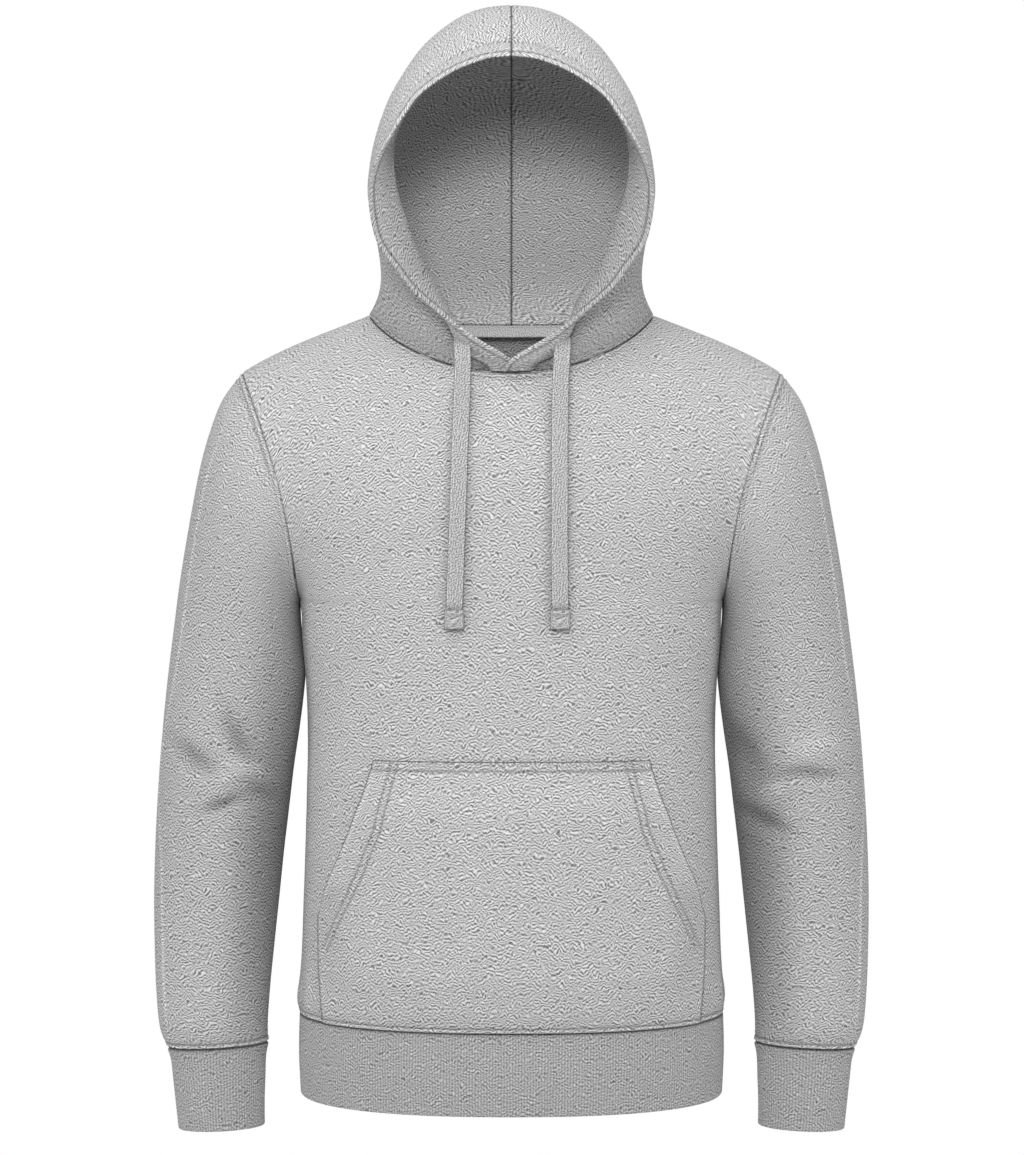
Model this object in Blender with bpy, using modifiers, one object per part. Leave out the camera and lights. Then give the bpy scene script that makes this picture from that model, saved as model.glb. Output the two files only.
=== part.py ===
"""Pullover hoodie in its worn, hollow form, as the cut-and-sewn pieces it is made of.

Metres, +Z up, the front faces -Y and the wearer's left is +X.  The origin lies between the
shoulders at the height of the neck points, where the wearer carries the garment.  Every piece of
cloth is a wall: its outer surface is a grid of points worked out from sections, and its inner
surface lies one cloth thickness inside along the normals.  Seams are butt joints with a small gap.
"""
import math

import bpy
import numpy as np

OBJECT_NAME = "pullover_hoodie"

# ---- cloth and seams
FLEECE = 0.0020          # brushed sweatshirt knit
RIB_CLOTH = 0.0026       # rib knit, folded double
TAPE_CLOTH = 0.0010      # neck tape
TAPE_GAP = 0.0008        # between the neck tape and the cloth it lies on
TAPE_HEIGHT = 0.0110
SEAM_GAP = 0.0003        # between two pieces that are sewn together

# ---- body
WAIST_SEAM_Z = -0.6100
UNDERARM_Z = -0.2500
BAND_HEIGHT = 0.0700
BODY_SQUARENESS = 2.3    # 2 is an ellipse, more is squarer
SHOULDER_X = 0.2363      # shoulder point, where the sleeve's crown is sewn on
SHOULDER_Z = -0.0500
SHOULDER_END_DROP = 0.15 # share of the shoulder's fall that comes near its end
FRONT_ROLL = 0.200       # height over which the body rounds over to the shoulder seam
BACK_ROLL = 0.160
RIDGE_RISE = 0.30        # slope of the shoulder ridge carried on inside the neck
NECK_HALF = 0.1250
NECK_FRONT = 0.0980      # how far the neck seam reaches forwards
NECK_BACK = 0.0800
NECK_FRONT_DROP = 0.0575
NECK_BACK_DROP = 0.0005
NECK_DIP = 1.5           # how sharply the neck seam dips to the centre
NECK_TILT = 0.45         # slope of the cloth at the neck seam, front and back
NECK_SIDE_TILT = 1.05    # and on the shoulder
NECK_SHARE = 0.6         # share of a panel's columns that end on the neck seam
SIDE_PULL = 6            # powers: how near its edge a panel begins to turn to the armhole,
TOP_PULL = 4             # to the neck and shoulder seams,
RISE_SPREAD = 1.5        # and how soon its columns spread towards the shoulders

# ---- armhole, a ring through the shoulder point and the underarm
ARM_MIDDLE_X = 0.2110
ARM_SPREAD_X = 0.0253
ARM_SCOOP = 0.0115       # how far the middle of the armhole is cut in
ARM_FRONT = 0.0780
ARM_BACK = 0.0850
ARM_TURN_X = 0.50        # slopes of the cloth at the armhole seam, outwards at the shoulder
ARM_TURN_Z = 0.95        # and upwards or downwards

# ---- hood
CHANNEL_PUFF = 0.0032    # what the drawcord in its channel adds to the cloth
FOLD_EXTRA = 0.0010      # double cloth at the folded edge
CHANNEL_FLAT = 0.35      # share of the channel's fullness left where it is sewn into the neck
OVERLAP_OUT = 0.0036     # the left edge lies on the right one where they cross
OVERLAP_IN = 0.0032
OVERLAP_SHARE = 0.35     # share of the channel's width that is stepped aside there

# ---- ribs
RIB_PITCH = 0.0090       # every few ribs of the real knit are one raised rib here
RIB_HEIGHT = 0.0007
PLAIN_STEP = 4           # rib columns for each column of the plain inside

# ---- pocket
POCKET_TOP_Z = -0.3837
POCKET_EDGE_LIFT = 0.0006
POCKET_FULLNESS = 0.0085
POCKET_SEWN_Z = -0.5193  # below this the pocket's sides are sewn down
POCKET_OPEN_RUN = 0.035  # height over which the sides come free above it
POCKET_SEAM_RUN = 0.22   # shares of its height and width over which it rises from its seams
POCKET_SIDE_RUN = 0.25

# ---- drawcord
CORD_WIDTH = 0.0140
CORD_THICKNESS = 0.0026
TIP_WIDTH = 0.0165
TIP_LENGTH = 0.0165
TIP_THICKNESS = 0.0046


def table(columns, *rows):
    """A short table: the name of each column and its numbers."""
    return {name: np.array(numbers, float) for name, numbers in zip(columns.split(), zip(*rows))}


# Half widths: of the body where the sleeves leave it free, and of the oval that its front and back
# follow, which is wider under the arms.
BODY = table(
    "height   width   section front   back",
    (-0.610, 0.1852, 0.1852, 0.1270, 0.1180),
    (-0.598, 0.1872, 0.1872, 0.1300, 0.1210),
    (-0.575, 0.1850, 0.1850, 0.1292, 0.1195),
    (-0.510, 0.1822, 0.1822, 0.1280, 0.1165),
    (-0.440, 0.1800, 0.1800, 0.1260, 0.1140),
    (-0.380, 0.1790, 0.1792, 0.1245, 0.1140),
    (-0.320, 0.1806, 0.1826, 0.1240, 0.1175),
    (-0.285, 0.1836, 0.1880, 0.1240, 0.1205),
    (-0.250, 0.1860, 0.1955, 0.1240, 0.1240),
    (-0.215, 0.2043, 0.2065, 0.1240, 0.1270),
    (-0.185, 0.2241, 0.2225, 0.1235, 0.1290),
    (-0.155, 0.2376, 0.2370, 0.1225, 0.1300),
    (-0.120, 0.2470, 0.2470, 0.1205, 0.1300),
    (-0.090, 0.2520, 0.2520, 0.1180, 0.1280),
    (-0.050, 0.2550, 0.2550, 0.1150, 0.1250),
    (0.040, 0.2570, 0.2570, 0.1100, 0.1200),
)

SLEEVE = table(
    "outer_x  outer_z  inner_x  inner_z  middle_y  front   back    scoop",
    (0.2363, -0.0500, 0.1857, -0.2500, 0.0000, 0.0780, 0.0850, 0.0115),
    (0.2539, -0.0740, 0.1864, -0.2575, 0.0010, 0.0780, 0.0830, 0.0080),
    (0.2650, -0.1020, 0.1859, -0.2665, 0.0025, 0.0770, 0.0800, 0.0045),
    (0.2740, -0.1340, 0.1850, -0.2775, 0.0045, 0.0755, 0.0770, 0.0015),
    (0.2830, -0.1800, 0.1836, -0.2935, 0.0065, 0.0735, 0.0740, 0.0000),
    (0.2915, -0.2300, 0.1818, -0.3125, 0.0075, 0.0710, 0.0705, 0.0000),
    (0.2980, -0.2800, 0.1838, -0.3370, 0.0070, 0.0680, 0.0670, 0.0000),
    (0.3035, -0.3270, 0.1873, -0.3650, 0.0055, 0.0650, 0.0640, 0.0000),
    (0.3075, -0.3720, 0.1918, -0.3970, 0.0030, 0.0620, 0.0615, 0.0000),
    (0.3105, -0.4160, 0.1957, -0.4320, 0.0010, 0.0590, 0.0590, 0.0000),
    (0.3125, -0.4620, 0.2000, -0.4700, -0.0020, 0.0560, 0.0560, 0.0000),
    (0.3132, -0.5060, 0.2036, -0.5080, -0.0055, 0.0525, 0.0525, 0.0000),
    (0.3124, -0.5480, 0.2074, -0.5470, -0.0090, 0.0480, 0.0480, 0.0000),
    (0.3107, -0.5880, 0.2110, -0.5850, -0.0120, 0.0430, 0.0430, 0.0000),
    (0.3072, -0.6220, 0.2131, -0.6180, -0.0145, 0.0370, 0.0370, 0.0000),
    (0.3002, -0.6400, 0.2124, -0.6352, -0.0155, 0.0290, 0.0290, 0.0000),
)

BAND = table(
    "share  width   front   back",
    (0.0, 0.1852, 0.1270, 0.1180),
    (0.5, 0.1858, 0.1272, 0.1182),
    (1.0, 0.1842, 0.1250, 0.1160),
)

CUFF = table(
    "outer_x  outer_z  inner_x  inner_z  middle_y  front   back",
    (0.3002, -0.6403, 0.2124, -0.6355, -0.0155, 0.0290, 0.0290),
    (0.2969, -0.6510, 0.2148, -0.6470, -0.0160, 0.0272, 0.0272),
    (0.2946, -0.6700, 0.2154, -0.6660, -0.0168, 0.0266, 0.0266),
    (0.2922, -0.6910, 0.2160, -0.6870, -0.0175, 0.0256, 0.0256),
    (0.2900, -0.7108, 0.2158, -0.7075, -0.0180, 0.0245, 0.0245),
)

# Soft troughs pressed into a sleeve where the elbow bends: the angle round the sleeve is counted
# from its outer side towards the front, the place along it in rows of the sleeve's table.
SLEEVE_FOLDS = {
    "left": table(
        "angle  place  slant  length  width  depth",
        (0.9, 9.0, -0.10, 0.55, 0.30, 0.0055),
        (1.9, 10.1, 0.85, 0.40, 0.30, 0.0045),
        (4.3, 9.2, 0.20, 0.70, 0.34, 0.0060),
        (4.9, 10.6, -0.30, 0.60, 0.36, 0.0050),
    ),
    "right": table(
        "angle  place  slant  length  width  depth",
        (1.6, 9.9, -0.45, 0.55, 0.32, 0.0060),
        (1.0, 8.8, 0.60, 0.40, 0.28, 0.0035),
        (4.4, 9.6, -0.20, 0.70, 0.34, 0.0060),
        (5.0, 8.4, 0.30, 0.60, 0.36, 0.0045),
    ),
}

# Hood, half of it: the folded front edge, the crease behind the drawcord channel, the widest
# place at the side, and the centre seam, each from the neck seam up to the crown.
HOOD = table(
    "fold_x  fold_y  fold_z  crease_x crease_y crease_z side_x side_y side_z back_y back_z lap",
    (-0.0075, -0.0985, -0.0560, 0.0165, -0.0972, -0.0570, 0.1250, 0.0000, 0.0000, 0.0800, -0.0005, 1.0),
    (0.0000, -0.1090, -0.0475, 0.0220, -0.0985, -0.0510, 0.1235, 0.0020, 0.0040, 0.0830, 0.0060, 1.0),
    (0.0274, -0.1150, -0.0316, 0.0390, -0.0965, -0.0415, 0.1215, 0.0050, 0.0080, 0.0870, 0.0130, 0.5),
    (0.0452, -0.1165, -0.0201, 0.0505, -0.0935, -0.0255, 0.1195, 0.0080, 0.0130, 0.0920, 0.0210, 0.1),
    (0.0605, -0.1145, -0.0097, 0.0545, -0.0930, -0.0010, 0.1175, 0.0110, 0.0190, 0.0980, 0.0310, 0.0),
    (0.0843, -0.1070, 0.0109, 0.0710, -0.0920, 0.0260, 0.1160, 0.0150, 0.0270, 0.1060, 0.0440, 0.0),
    (0.0970, -0.1015, 0.0281, 0.0793, -0.0890, 0.0420, 0.1155, 0.0190, 0.0370, 0.1150, 0.0590, 0.0),
    (0.1126, -0.0930, 0.0500, 0.0863, -0.0825, 0.0600, 0.1170, 0.0230, 0.0530, 0.1270, 0.0800, 0.0),
    (0.1190, -0.0860, 0.0700, 0.0919, -0.0765, 0.0770, 0.1205, 0.0270, 0.0720, 0.1360, 0.1000, 0.0),
    (0.1219, -0.0800, 0.0918, 0.0978, -0.0690, 0.0945, 0.1260, 0.0300, 0.0960, 0.1440, 0.1230, 0.0),
    (0.1208, -0.0745, 0.1100, 0.1016, -0.0605, 0.1130, 0.1282, 0.0330, 0.1160, 0.1485, 0.1420, 0.0),
    (0.1142, -0.0690, 0.1302, 0.1036, -0.0520, 0.1340, 0.1262, 0.0350, 0.1380, 0.1500, 0.1610, 0.0),
    (0.1045, -0.0650, 0.1480, 0.1012, -0.0450, 0.1545, 0.1225, 0.0350, 0.1570, 0.1490, 0.1770, 0.0),
    (0.0925, -0.0615, 0.1670, 0.0970, -0.0410, 0.1765, 0.1155, 0.0350, 0.1800, 0.1460, 0.1930, 0.0),
    (0.0785, -0.0590, 0.1858, 0.0835, -0.0385, 0.1965, 0.1040, 0.0350, 0.2060, 0.1410, 0.2080, 0.0),
    (0.0511, -0.0565, 0.2051, 0.0545, -0.0360, 0.2185, 0.0800, 0.0350, 0.2420, 0.1340, 0.2220, 0.0),
    (0.0260, -0.0553, 0.2155, 0.0275, -0.0356, 0.2305, 0.0500, 0.0350, 0.2670, 0.1280, 0.2310, 0.0),
    (0.0130, -0.0550, 0.2182, 0.0137, -0.0355, 0.2335, 0.0250, 0.0350, 0.2772, 0.1250, 0.2350, 0.0),
    (0.0001, -0.0550, 0.2190, 0.0001, -0.0355, 0.2345, 0.0002, 0.0350, 0.2802, 0.1220, 0.2385, 0.0),
)

POCKET = table(
    "height  width",
    (-0.6096, 0.1600),
    (-0.5640, 0.1640),
    (-0.5193, 0.1648),
    (-0.4875, 0.1490),
    (-0.4654, 0.1398),
    (-0.4419, 0.1309),
    (-0.4180, 0.1232),
    (-0.3930, 0.1180),
    (-0.3837, 0.1160),
)

# Drawcords hang from under the hood's edge down over the chest: points down the middle of each.
CORD_ROUTES = {
    "left": (
        (0.0430, -0.1100, -0.0350),
        (0.0422, -0.1104, -0.0480),
        (0.0413, -0.1110, -0.0650),
        (0.0405, -0.1140, -0.1000),
        (0.0402, -0.1234, -0.1500),
        (0.0401, -0.1266, -0.2050),
        (0.0405, -0.1272, -0.2570),
    ),
    "right": (
        (-0.0415, -0.1100, -0.0350),
        (-0.0409, -0.1104, -0.0480),
        (-0.0411, -0.1110, -0.0650),
        (-0.0424, -0.1140, -0.1000),
        (-0.0440, -0.1234, -0.1500),
        (-0.0458, -0.1266, -0.2050),
        (-0.0477, -0.1272, -0.2570),
    ),
}

# ---- how finely each piece is laid out
BODY_ROWS = 10           # waist seam to underarm
ARMHOLE_ROWS = 11        # underarm to shoulder
NECK_COLUMNS = 6         # for each quarter of the neck
SHOULDER_COLUMNS = 4     # on each side of the neck
SLEEVE_COLUMNS = 18
SLEEVE_ROWS = 21
HOOD_ROWS = 20
HOOD_COLUMNS = 2 * NECK_COLUMNS    # crease to side and side to centre seam
CHANNEL_COLUMNS = 3
POCKET_COLUMNS = 20
CORD_POINTS = 14


# ---- curves and grids

def through(at, knots, values):
    """Smooth curve through the knots: a cubic between each two, with the slopes of its neighbours."""
    at = np.asarray(at, float)
    slopes = np.gradient(values, knots)
    left = np.clip(np.searchsorted(knots, at, side="right") - 1, 0, len(knots) - 2)
    step = knots[left + 1] - knots[left]
    t = np.clip((at - knots[left]) / step, 0.0, 1.0)
    ends = (1 + 2 * t) * (1 - t) ** 2 * values[left] + t ** 2 * (3 - 2 * t) * values[left + 1]
    return ends + step * t * (1 - t) * ((1 - t) * slopes[left] - t * slopes[left + 1])


def soft_step(t):
    """0 below 0, 1 above 1, smooth between."""
    t = np.clip(t, 0.0, 1.0)
    return t * t * (3 - 2 * t)


def unit(vectors):
    """The vectors at length one."""
    return vectors / np.linalg.norm(vectors, axis=-1, keepdims=True)


def grid_normals(points, closed, outward):
    """Unit normals of a grid of rows and columns, outward being the sign of columns x rows."""
    if closed:
        wide = np.concatenate([points[:, -1:], points, points[:, :1]], axis=1)
        across = np.gradient(wide, axis=1)[:, 1:-1]
    else:
        across = np.gradient(points, axis=1)
    up = np.gradient(points, axis=0)
    return unit(outward * np.cross(across, up))


# ---- body

def armhole(angle):
    """Armhole on the +X side: angle 0 at the shoulder, a quarter turn at the front, half at the underarm."""
    cos, sin = np.cos(angle), np.sin(angle)
    depth = np.where(sin > 0, ARM_FRONT, ARM_BACK)
    x = ARM_MIDDLE_X + ARM_SPREAD_X * cos - ARM_SCOOP * sin ** 2
    z = (SHOULDER_Z + UNDERARM_Z) / 2 + (SHOULDER_Z - UNDERARM_Z) / 2 * cos
    return x, -sin * depth, z


def armhole_normal(angle):
    """Direction in which the cloth faces at the armhole seam, the same for body and sleeve."""
    cos, sin = np.cos(angle), np.sin(angle)
    return unit(np.stack([ARM_TURN_X * (0.5 + 0.5 * cos) ** 2, -sin, ARM_TURN_Z * cos], axis=-1))


def neck_seam(angle):
    """Neck seam: angle 0 at the +X neck point, a quarter turn back at the nape, forward at the throat."""
    cos, sin = np.cos(angle), np.sin(angle)
    front = sin < 0
    y = np.where(front, NECK_FRONT, NECK_BACK) * sin
    z = -np.where(front, NECK_FRONT_DROP, NECK_BACK_DROP) * np.abs(sin) ** NECK_DIP
    return NECK_HALF * cos, y, z


def neck_normal(angle):
    """Direction in which the cloth faces at the neck seam, the same for body and hood."""
    cos, sin = np.cos(angle), np.sin(angle)
    tilt = NECK_TILT + (NECK_SIDE_TILT - NECK_TILT) * cos ** 2
    return unit(np.stack([cos, sin * NECK_HALF / NECK_FRONT, tilt], axis=-1))


def shoulder_line(share):
    """Height of the shoulder seam at a share of its length from the neck point."""
    return SHOULDER_Z * ((1 - SHOULDER_END_DROP) * share + SHOULDER_END_DROP * share ** 4)


def ridge_height(x):
    """Height of the shoulder ridge at a distance x from the middle."""
    outside = np.clip((x - NECK_HALF) / (SHOULDER_X - NECK_HALF), 0.0, 1.2)
    return shoulder_line(outside) + RIDGE_RISE * np.clip(NECK_HALF - x, 0.0, None)


def body_depth(face, x, z):
    """How far the body stands forward (face -1) or back (face 1) at x and z: squarish oval
    sections, each as wide and deep as the body's table says, rounding over to the shoulder ridge."""
    width = through(z, BODY["height"], BODY["section"])
    deep = through(z, BODY["height"], BODY["front" if face < 0 else "back"])
    share = np.clip(np.abs(x) / width, 0.0, 1.0)
    section = deep * (1 - share ** BODY_SQUARENESS) ** (1 / BODY_SQUARENESS)
    roll = FRONT_ROLL if face < 0 else BACK_ROLL
    below = np.clip((ridge_height(np.abs(x)) - z) / roll, 0.0, 1.0)
    return face * section * np.sqrt(1 - (1 - below) ** 2)


def top_edge(face, across):
    """Upper edge of a panel: the neck seam out to its neck point, then the shoulder line."""
    angle = math.pi / 2 * (1 - np.clip(across / NECK_SHARE, 0.0, 1.0))
    x, y, z = neck_seam(face * angle)
    shoulder = np.clip((across - NECK_SHARE) / (1 - NECK_SHARE), 0.0, 1.0)
    return x + (SHOULDER_X - NECK_HALF) * shoulder, y, z + shoulder_line(shoulder)


def body_points(face, u, t):
    """Outer surface of the front (face -1) or back (face 1): u from -1 to 1 across the panel,
    t from 0 at the waist seam to 1 at the underarm and 2 at the shoulder."""
    u, t = np.broadcast_arrays(u, t)
    across = np.abs(u)
    angle = math.pi * (1 - np.clip(t - 1, 0.0, 1.0))
    arm_x, arm_y, arm_z = armhole(-face * angle)
    low = t < 1
    edge_z = np.where(low, WAIST_SEAM_Z + (UNDERARM_Z - WAIST_SEAM_Z) * t, arm_z)
    widest = through(edge_z, BODY["height"], BODY["width"])
    edge_x = np.where(low, widest, np.minimum(arm_x, widest))
    edge_y = np.where(low, 0.0, arm_y)
    rise = np.where(low, 0.0, (1 + np.cos(angle)) / 2)

    open_angle = np.arcsin((edge_x / widest) ** (BODY_SQUARENESS / 2))
    low_share = (np.sin(across * open_angle) / np.sin(open_angle)) ** (2 / BODY_SQUARENESS)
    top_x, top_y, top_z = top_edge(face, across)
    blend = rise ** RISE_SPREAD
    x = edge_x * ((1 - blend) * low_share + blend * top_x / SHOULDER_X)
    z = np.where(low, edge_z, UNDERARM_Z + rise * (top_z - UNDERARM_Z))

    by_side = across ** SIDE_PULL
    by_top = rise ** TOP_PULL
    y = body_depth(face, x, z)
    y = y + by_side * (edge_y - body_depth(face, edge_x, edge_z))
    y = y + by_top * (top_y - body_depth(face, top_x, top_z))
    y = y + by_side * by_top * body_depth(face, SHOULDER_X, SHOULDER_Z)
    return np.stack([np.sign(u) * x, y, z], axis=-1)


def body_columns(face):
    """Columns across a panel, on the same places of the neck seam as the hood's columns."""
    from_middle = np.linspace(0.0, NECK_SHARE, NECK_COLUMNS + 1)
    if face < 0:
        crease = 1 - math.acos(HOOD["crease_x"][0] / NECK_HALF) / (math.pi / 2)
        from_middle = np.concatenate([[0.0], NECK_SHARE * np.linspace(crease, 1.0, NECK_COLUMNS + 1)])
    half = np.concatenate([from_middle, np.linspace(NECK_SHARE, 1.0, SHOULDER_COLUMNS + 1)[1:]])
    return np.concatenate([-half[:0:-1], half])


def body_panel(face):
    """Grid of points and normals of the front or back panel, with its seam gaps taken off."""
    u = body_columns(face)
    t = np.concatenate([waist_rows(), 1 + np.arange(1, ARMHOLE_ROWS + 1) / ARMHOLE_ROWS])
    points = body_points(face, u[None, :], t[:, None])
    normals = grid_normals(points, False, -face)

    side = np.sign(u[[0, -1]])
    low = t < 1
    angle = math.pi * (1 - np.clip(t - 1, 0.0, 1.0))
    for column, sign in ((0, side[0]), (-1, side[1])):
        normals[low, column, 1] = 0.0
        normals[~low, column] = armhole_normal(-face * angle[~low]) * (sign, 1, 1)
        points[low, column, 1] += face * SEAM_GAP / 2
        points[~low, column, 0] -= sign * SEAM_GAP
    normals[0, :, 2] = 0.0

    on_neck = np.abs(u) < NECK_SHARE + 1e-6
    on_shoulder = (np.abs(u) > NECK_SHARE - 1e-6) & (np.abs(u) < 1)
    neck_angle = face * math.pi / 2 * (1 - np.abs(u[on_neck]) / NECK_SHARE)
    normals[-1, on_neck] = neck_normal(neck_angle) * np.stack(
        [np.sign(u[on_neck]), np.ones(on_neck.sum()), np.ones(on_neck.sum())], axis=-1)
    normals[-1, on_shoulder, 1] = 0.0
    points[-1, on_shoulder, 1] += face * SEAM_GAP / 2
    points[-1, [0, -1], 1] += face * SEAM_GAP / 2
    return points, unit(normals)


def waist_rows():
    """Rows from the waist seam to the underarm, closer at the seam, where the cloth turns in."""
    height = np.concatenate([[0.0, 0.014, 0.034, 0.066],
                             np.linspace(0.105, UNDERARM_Z - WAIST_SEAM_Z, BODY_ROWS - 3)])
    return height / (UNDERARM_Z - WAIST_SEAM_Z)


# ---- sleeves, cuffs and waistband

def ring(section, angle):
    """Closed ring round an arm: from its outer side over the front, inner side and back."""
    cos, sin = np.cos(angle), np.sin(angle)
    middle_x = (section["outer_x"] + section["inner_x"]) / 2
    middle_z = (section["outer_z"] + section["inner_z"]) / 2
    half_x = (section["outer_x"] - section["inner_x"]) / 2
    half_z = (section["outer_z"] - section["inner_z"]) / 2
    x = middle_x + half_x * cos - section.get("scoop", 0.0) * sin ** 2
    y = section["middle_y"] - sin * np.where(sin > 0, section["front"], section["back"])
    return np.stack([x, y, middle_z + half_z * cos], axis=-1)


def section_rows(sections, place):
    """The table's columns read at the given rows, as columns of a grid."""
    rows = np.arange(len(sections["outer_x"]), dtype=float)
    return {name: through(place, rows, numbers)[:, None] for name, numbers in sections.items()}


def fold_depth(folds, angle, place):
    """Depth of the soft troughs at an angle round the sleeve and a place along it: each is a
    short valley with smooth sides and ends, turned by its slant."""
    depth = np.zeros(np.broadcast(angle, place).shape)
    for row in range(len(folds["angle"])):
        fold = {name: numbers[row] for name, numbers in folds.items()}
        around = angle - fold["angle"]
        along = place - fold["place"]
        down_fold = around * math.cos(fold["slant"]) + along * math.sin(fold["slant"])
        off_fold = along * math.cos(fold["slant"]) - around * math.sin(fold["slant"])
        valley = np.exp(-(off_fold / fold["width"]) ** 2 - (down_fold / fold["length"]) ** 2)
        depth += fold["depth"] * valley
    return depth


def sleeve_grid(side):
    """Sleeve from the armhole seam to the cuff: rings through the table, folded at the elbow."""
    angle = np.arange(SLEEVE_COLUMNS) * 2 * math.pi / SLEEVE_COLUMNS
    place = np.concatenate([np.linspace(0, 8, SLEEVE_ROWS - 10), np.linspace(8.6, 11, 5), (12, 13, 14, 14.6, 15)])
    points = ring(section_rows(SLEEVE, place), angle[None, :])
    normals = grid_normals(points, True, 1)
    points = points - normals * fold_depth(SLEEVE_FOLDS[side], angle[None, :], place[:, None])[..., None]
    normals = grid_normals(points, True, 1)
    x, y, z = armhole(angle)
    points[0] = np.stack([x, y, z], axis=-1)
    normals[0] = armhole_normal(angle)
    normals[-1] = cuff_seam_normals(normals[-1])
    return points, normals


def cuff_seam_normals(normals):
    """Normals kept in the plane of the cuff seam, so that sleeve and cuff meet square."""
    seam = np.array([SLEEVE["outer_x"][-1] - SLEEVE["inner_x"][-1], 0.0,
                     SLEEVE["outer_z"][-1] - SLEEVE["inner_z"][-1]])
    axis = unit(np.cross(seam, (0.0, 1.0, 0.0)))
    return unit(normals - (normals @ axis)[:, None] * axis)


def rib_columns(girth):
    """Number of columns round a rib tube: two for each raised rib."""
    return PLAIN_STEP * round(2 * girth / RIB_PITCH / PLAIN_STEP)


def raised_ribs(points, normals):
    """Every other column of the outer surface stands out by the rib's height."""
    height = RIB_HEIGHT * (np.arange(points.shape[1]) % 2)
    return points + normals * height[None, :, None]


def cuff_grid():
    """Cuff, narrower towards the hand."""
    half_wide, half_deep = (CUFF["outer_x"][0] - CUFF["inner_x"][0]) / 2, CUFF["front"][0]
    columns = rib_columns(2 * math.pi * math.sqrt((half_wide ** 2 + half_deep ** 2) / 2))
    angle = np.arange(columns) * 2 * math.pi / columns
    points = ring(section_rows(CUFF, np.arange(5.0)), angle[None, :])
    normals = grid_normals(points, True, 1)
    normals[0] = cuff_seam_normals(normals[0])
    return points, normals


def band_grid():
    """Waistband: a squarish oval under the body, drawn in a little at its lower edge."""
    height = WAIST_SEAM_Z - SEAM_GAP - BAND["share"] * (BAND_HEIGHT - SEAM_GAP)
    width, front, back = (BAND[name][:, None] for name in ("width", "front", "back"))
    girth = 2 * math.pi * math.sqrt((width[0, 0] ** 2 + front[0, 0] ** 2) / 2)
    columns = rib_columns(girth)
    angle = np.arange(columns) * 2 * math.pi / columns
    power = 2 / BODY_SQUARENESS
    cos = np.sign(np.cos(angle)) * np.abs(np.cos(angle)) ** power
    sin = np.sign(np.sin(angle)) * np.abs(np.sin(angle)) ** power
    depth = np.where(sin[None, :] > 0, front, back)
    x = width * cos[None, :]
    points = np.stack([x, -depth * sin[None, :], np.broadcast_to(height[:, None], x.shape)], axis=-1)
    normals = grid_normals(points, True, 1)
    normals[0, :, 2] = 0.0
    return points, unit(normals)


# ---- hood

def hood_half(lies_over):
    """Half hood on the +X side: points, normals and thickness, from the folded front edge over
    the drawcord channel and round to the centre seam, and from the neck seam up to the crown."""
    rows = np.arange(len(HOOD["fold_x"]), dtype=float)
    place = np.linspace(0.0, rows[-1], HOOD_ROWS + 1)
    at = {name: through(place, rows, numbers)[:, None] for name, numbers in HOOD.items()}

    # channel: straight from the fold to the crease, stepped aside where the two edges cross
    a = np.linspace(0.0, 1.0, CHANNEL_COLUMNS + 1)[None, :-1]
    aside = at["lap"] * soft_step((1 - a) / OVERLAP_SHARE) * (-OVERLAP_OUT if lies_over else OVERLAP_IN)
    channel = np.stack([at["fold_" + axis] + (at["crease_" + axis] - at["fold_" + axis]) * a
                        for axis in "xyz"], axis=-1)
    channel[..., 1] += aside

    # body of the hood: an oval from the crease past the widest place to the centre seam
    start = -np.arccos(np.clip(at["crease_x"] / at["side_x"], 0.0, 1.0))
    quarter = np.linspace(0.0, 1.0, NECK_COLUMNS + 1)
    angle = np.concatenate([start * (1 - quarter), np.broadcast_to(math.pi / 2 * quarter[1:],
                            (len(start), NECK_COLUMNS))], axis=1)
    cos, sin = np.cos(angle), np.sin(angle)
    reach = (at["crease_y"] - at["side_y"]) / np.sin(start)
    y = at["side_y"] + np.where(sin < 0, reach, at["back_y"] - at["side_y"]) * sin
    power = NECK_DIP + (2 - NECK_DIP) * soft_step(place / 3)[:, None]
    ahead = (np.abs(sin) / np.abs(np.sin(start))) ** power
    z_front = at["side_z"] + (at["crease_z"] - at["side_z"]) * ahead
    z_back = at["side_z"] + (at["back_z"] - at["side_z"]) * np.abs(sin) ** power
    shell = np.stack([at["side_x"] * cos, y, np.where(sin < 0, z_front, z_back)], axis=-1)
    seam_x, seam_y, seam_z = neck_seam(angle[0])
    shell[0] = np.stack([seam_x, seam_y, seam_z], axis=-1)

    points = np.concatenate([channel, shell], axis=1)
    points[0, :, 2] += SEAM_GAP
    normals = grid_normals(points, False, 1)
    normals[0, :CHANNEL_COLUMNS] = (0.0, -1.0, 0.0)
    normals[0, CHANNEL_COLUMNS:] = neck_normal(angle[0])
    normals[-1, :, 0] = 0.0
    normals[:, -1, 0] = 0.0
    points[-1, :, 0] = SEAM_GAP / 2
    points[:, -1, 0] = SEAM_GAP / 2
    normals = unit(normals)

    share = np.concatenate([a[0], np.ones(HOOD_COLUMNS + 1)])
    puff = CHANNEL_PUFF * np.sin(math.pi * share) + FOLD_EXTRA * (1 - share)
    full = CHANNEL_FLAT + (1 - CHANNEL_FLAT) * soft_step(place / 2)
    puff = (puff[None, :] * full[:, None])[..., None]
    return points + normals * puff / 2, normals, FLEECE + puff


# ---- what lies on the panels

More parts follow.
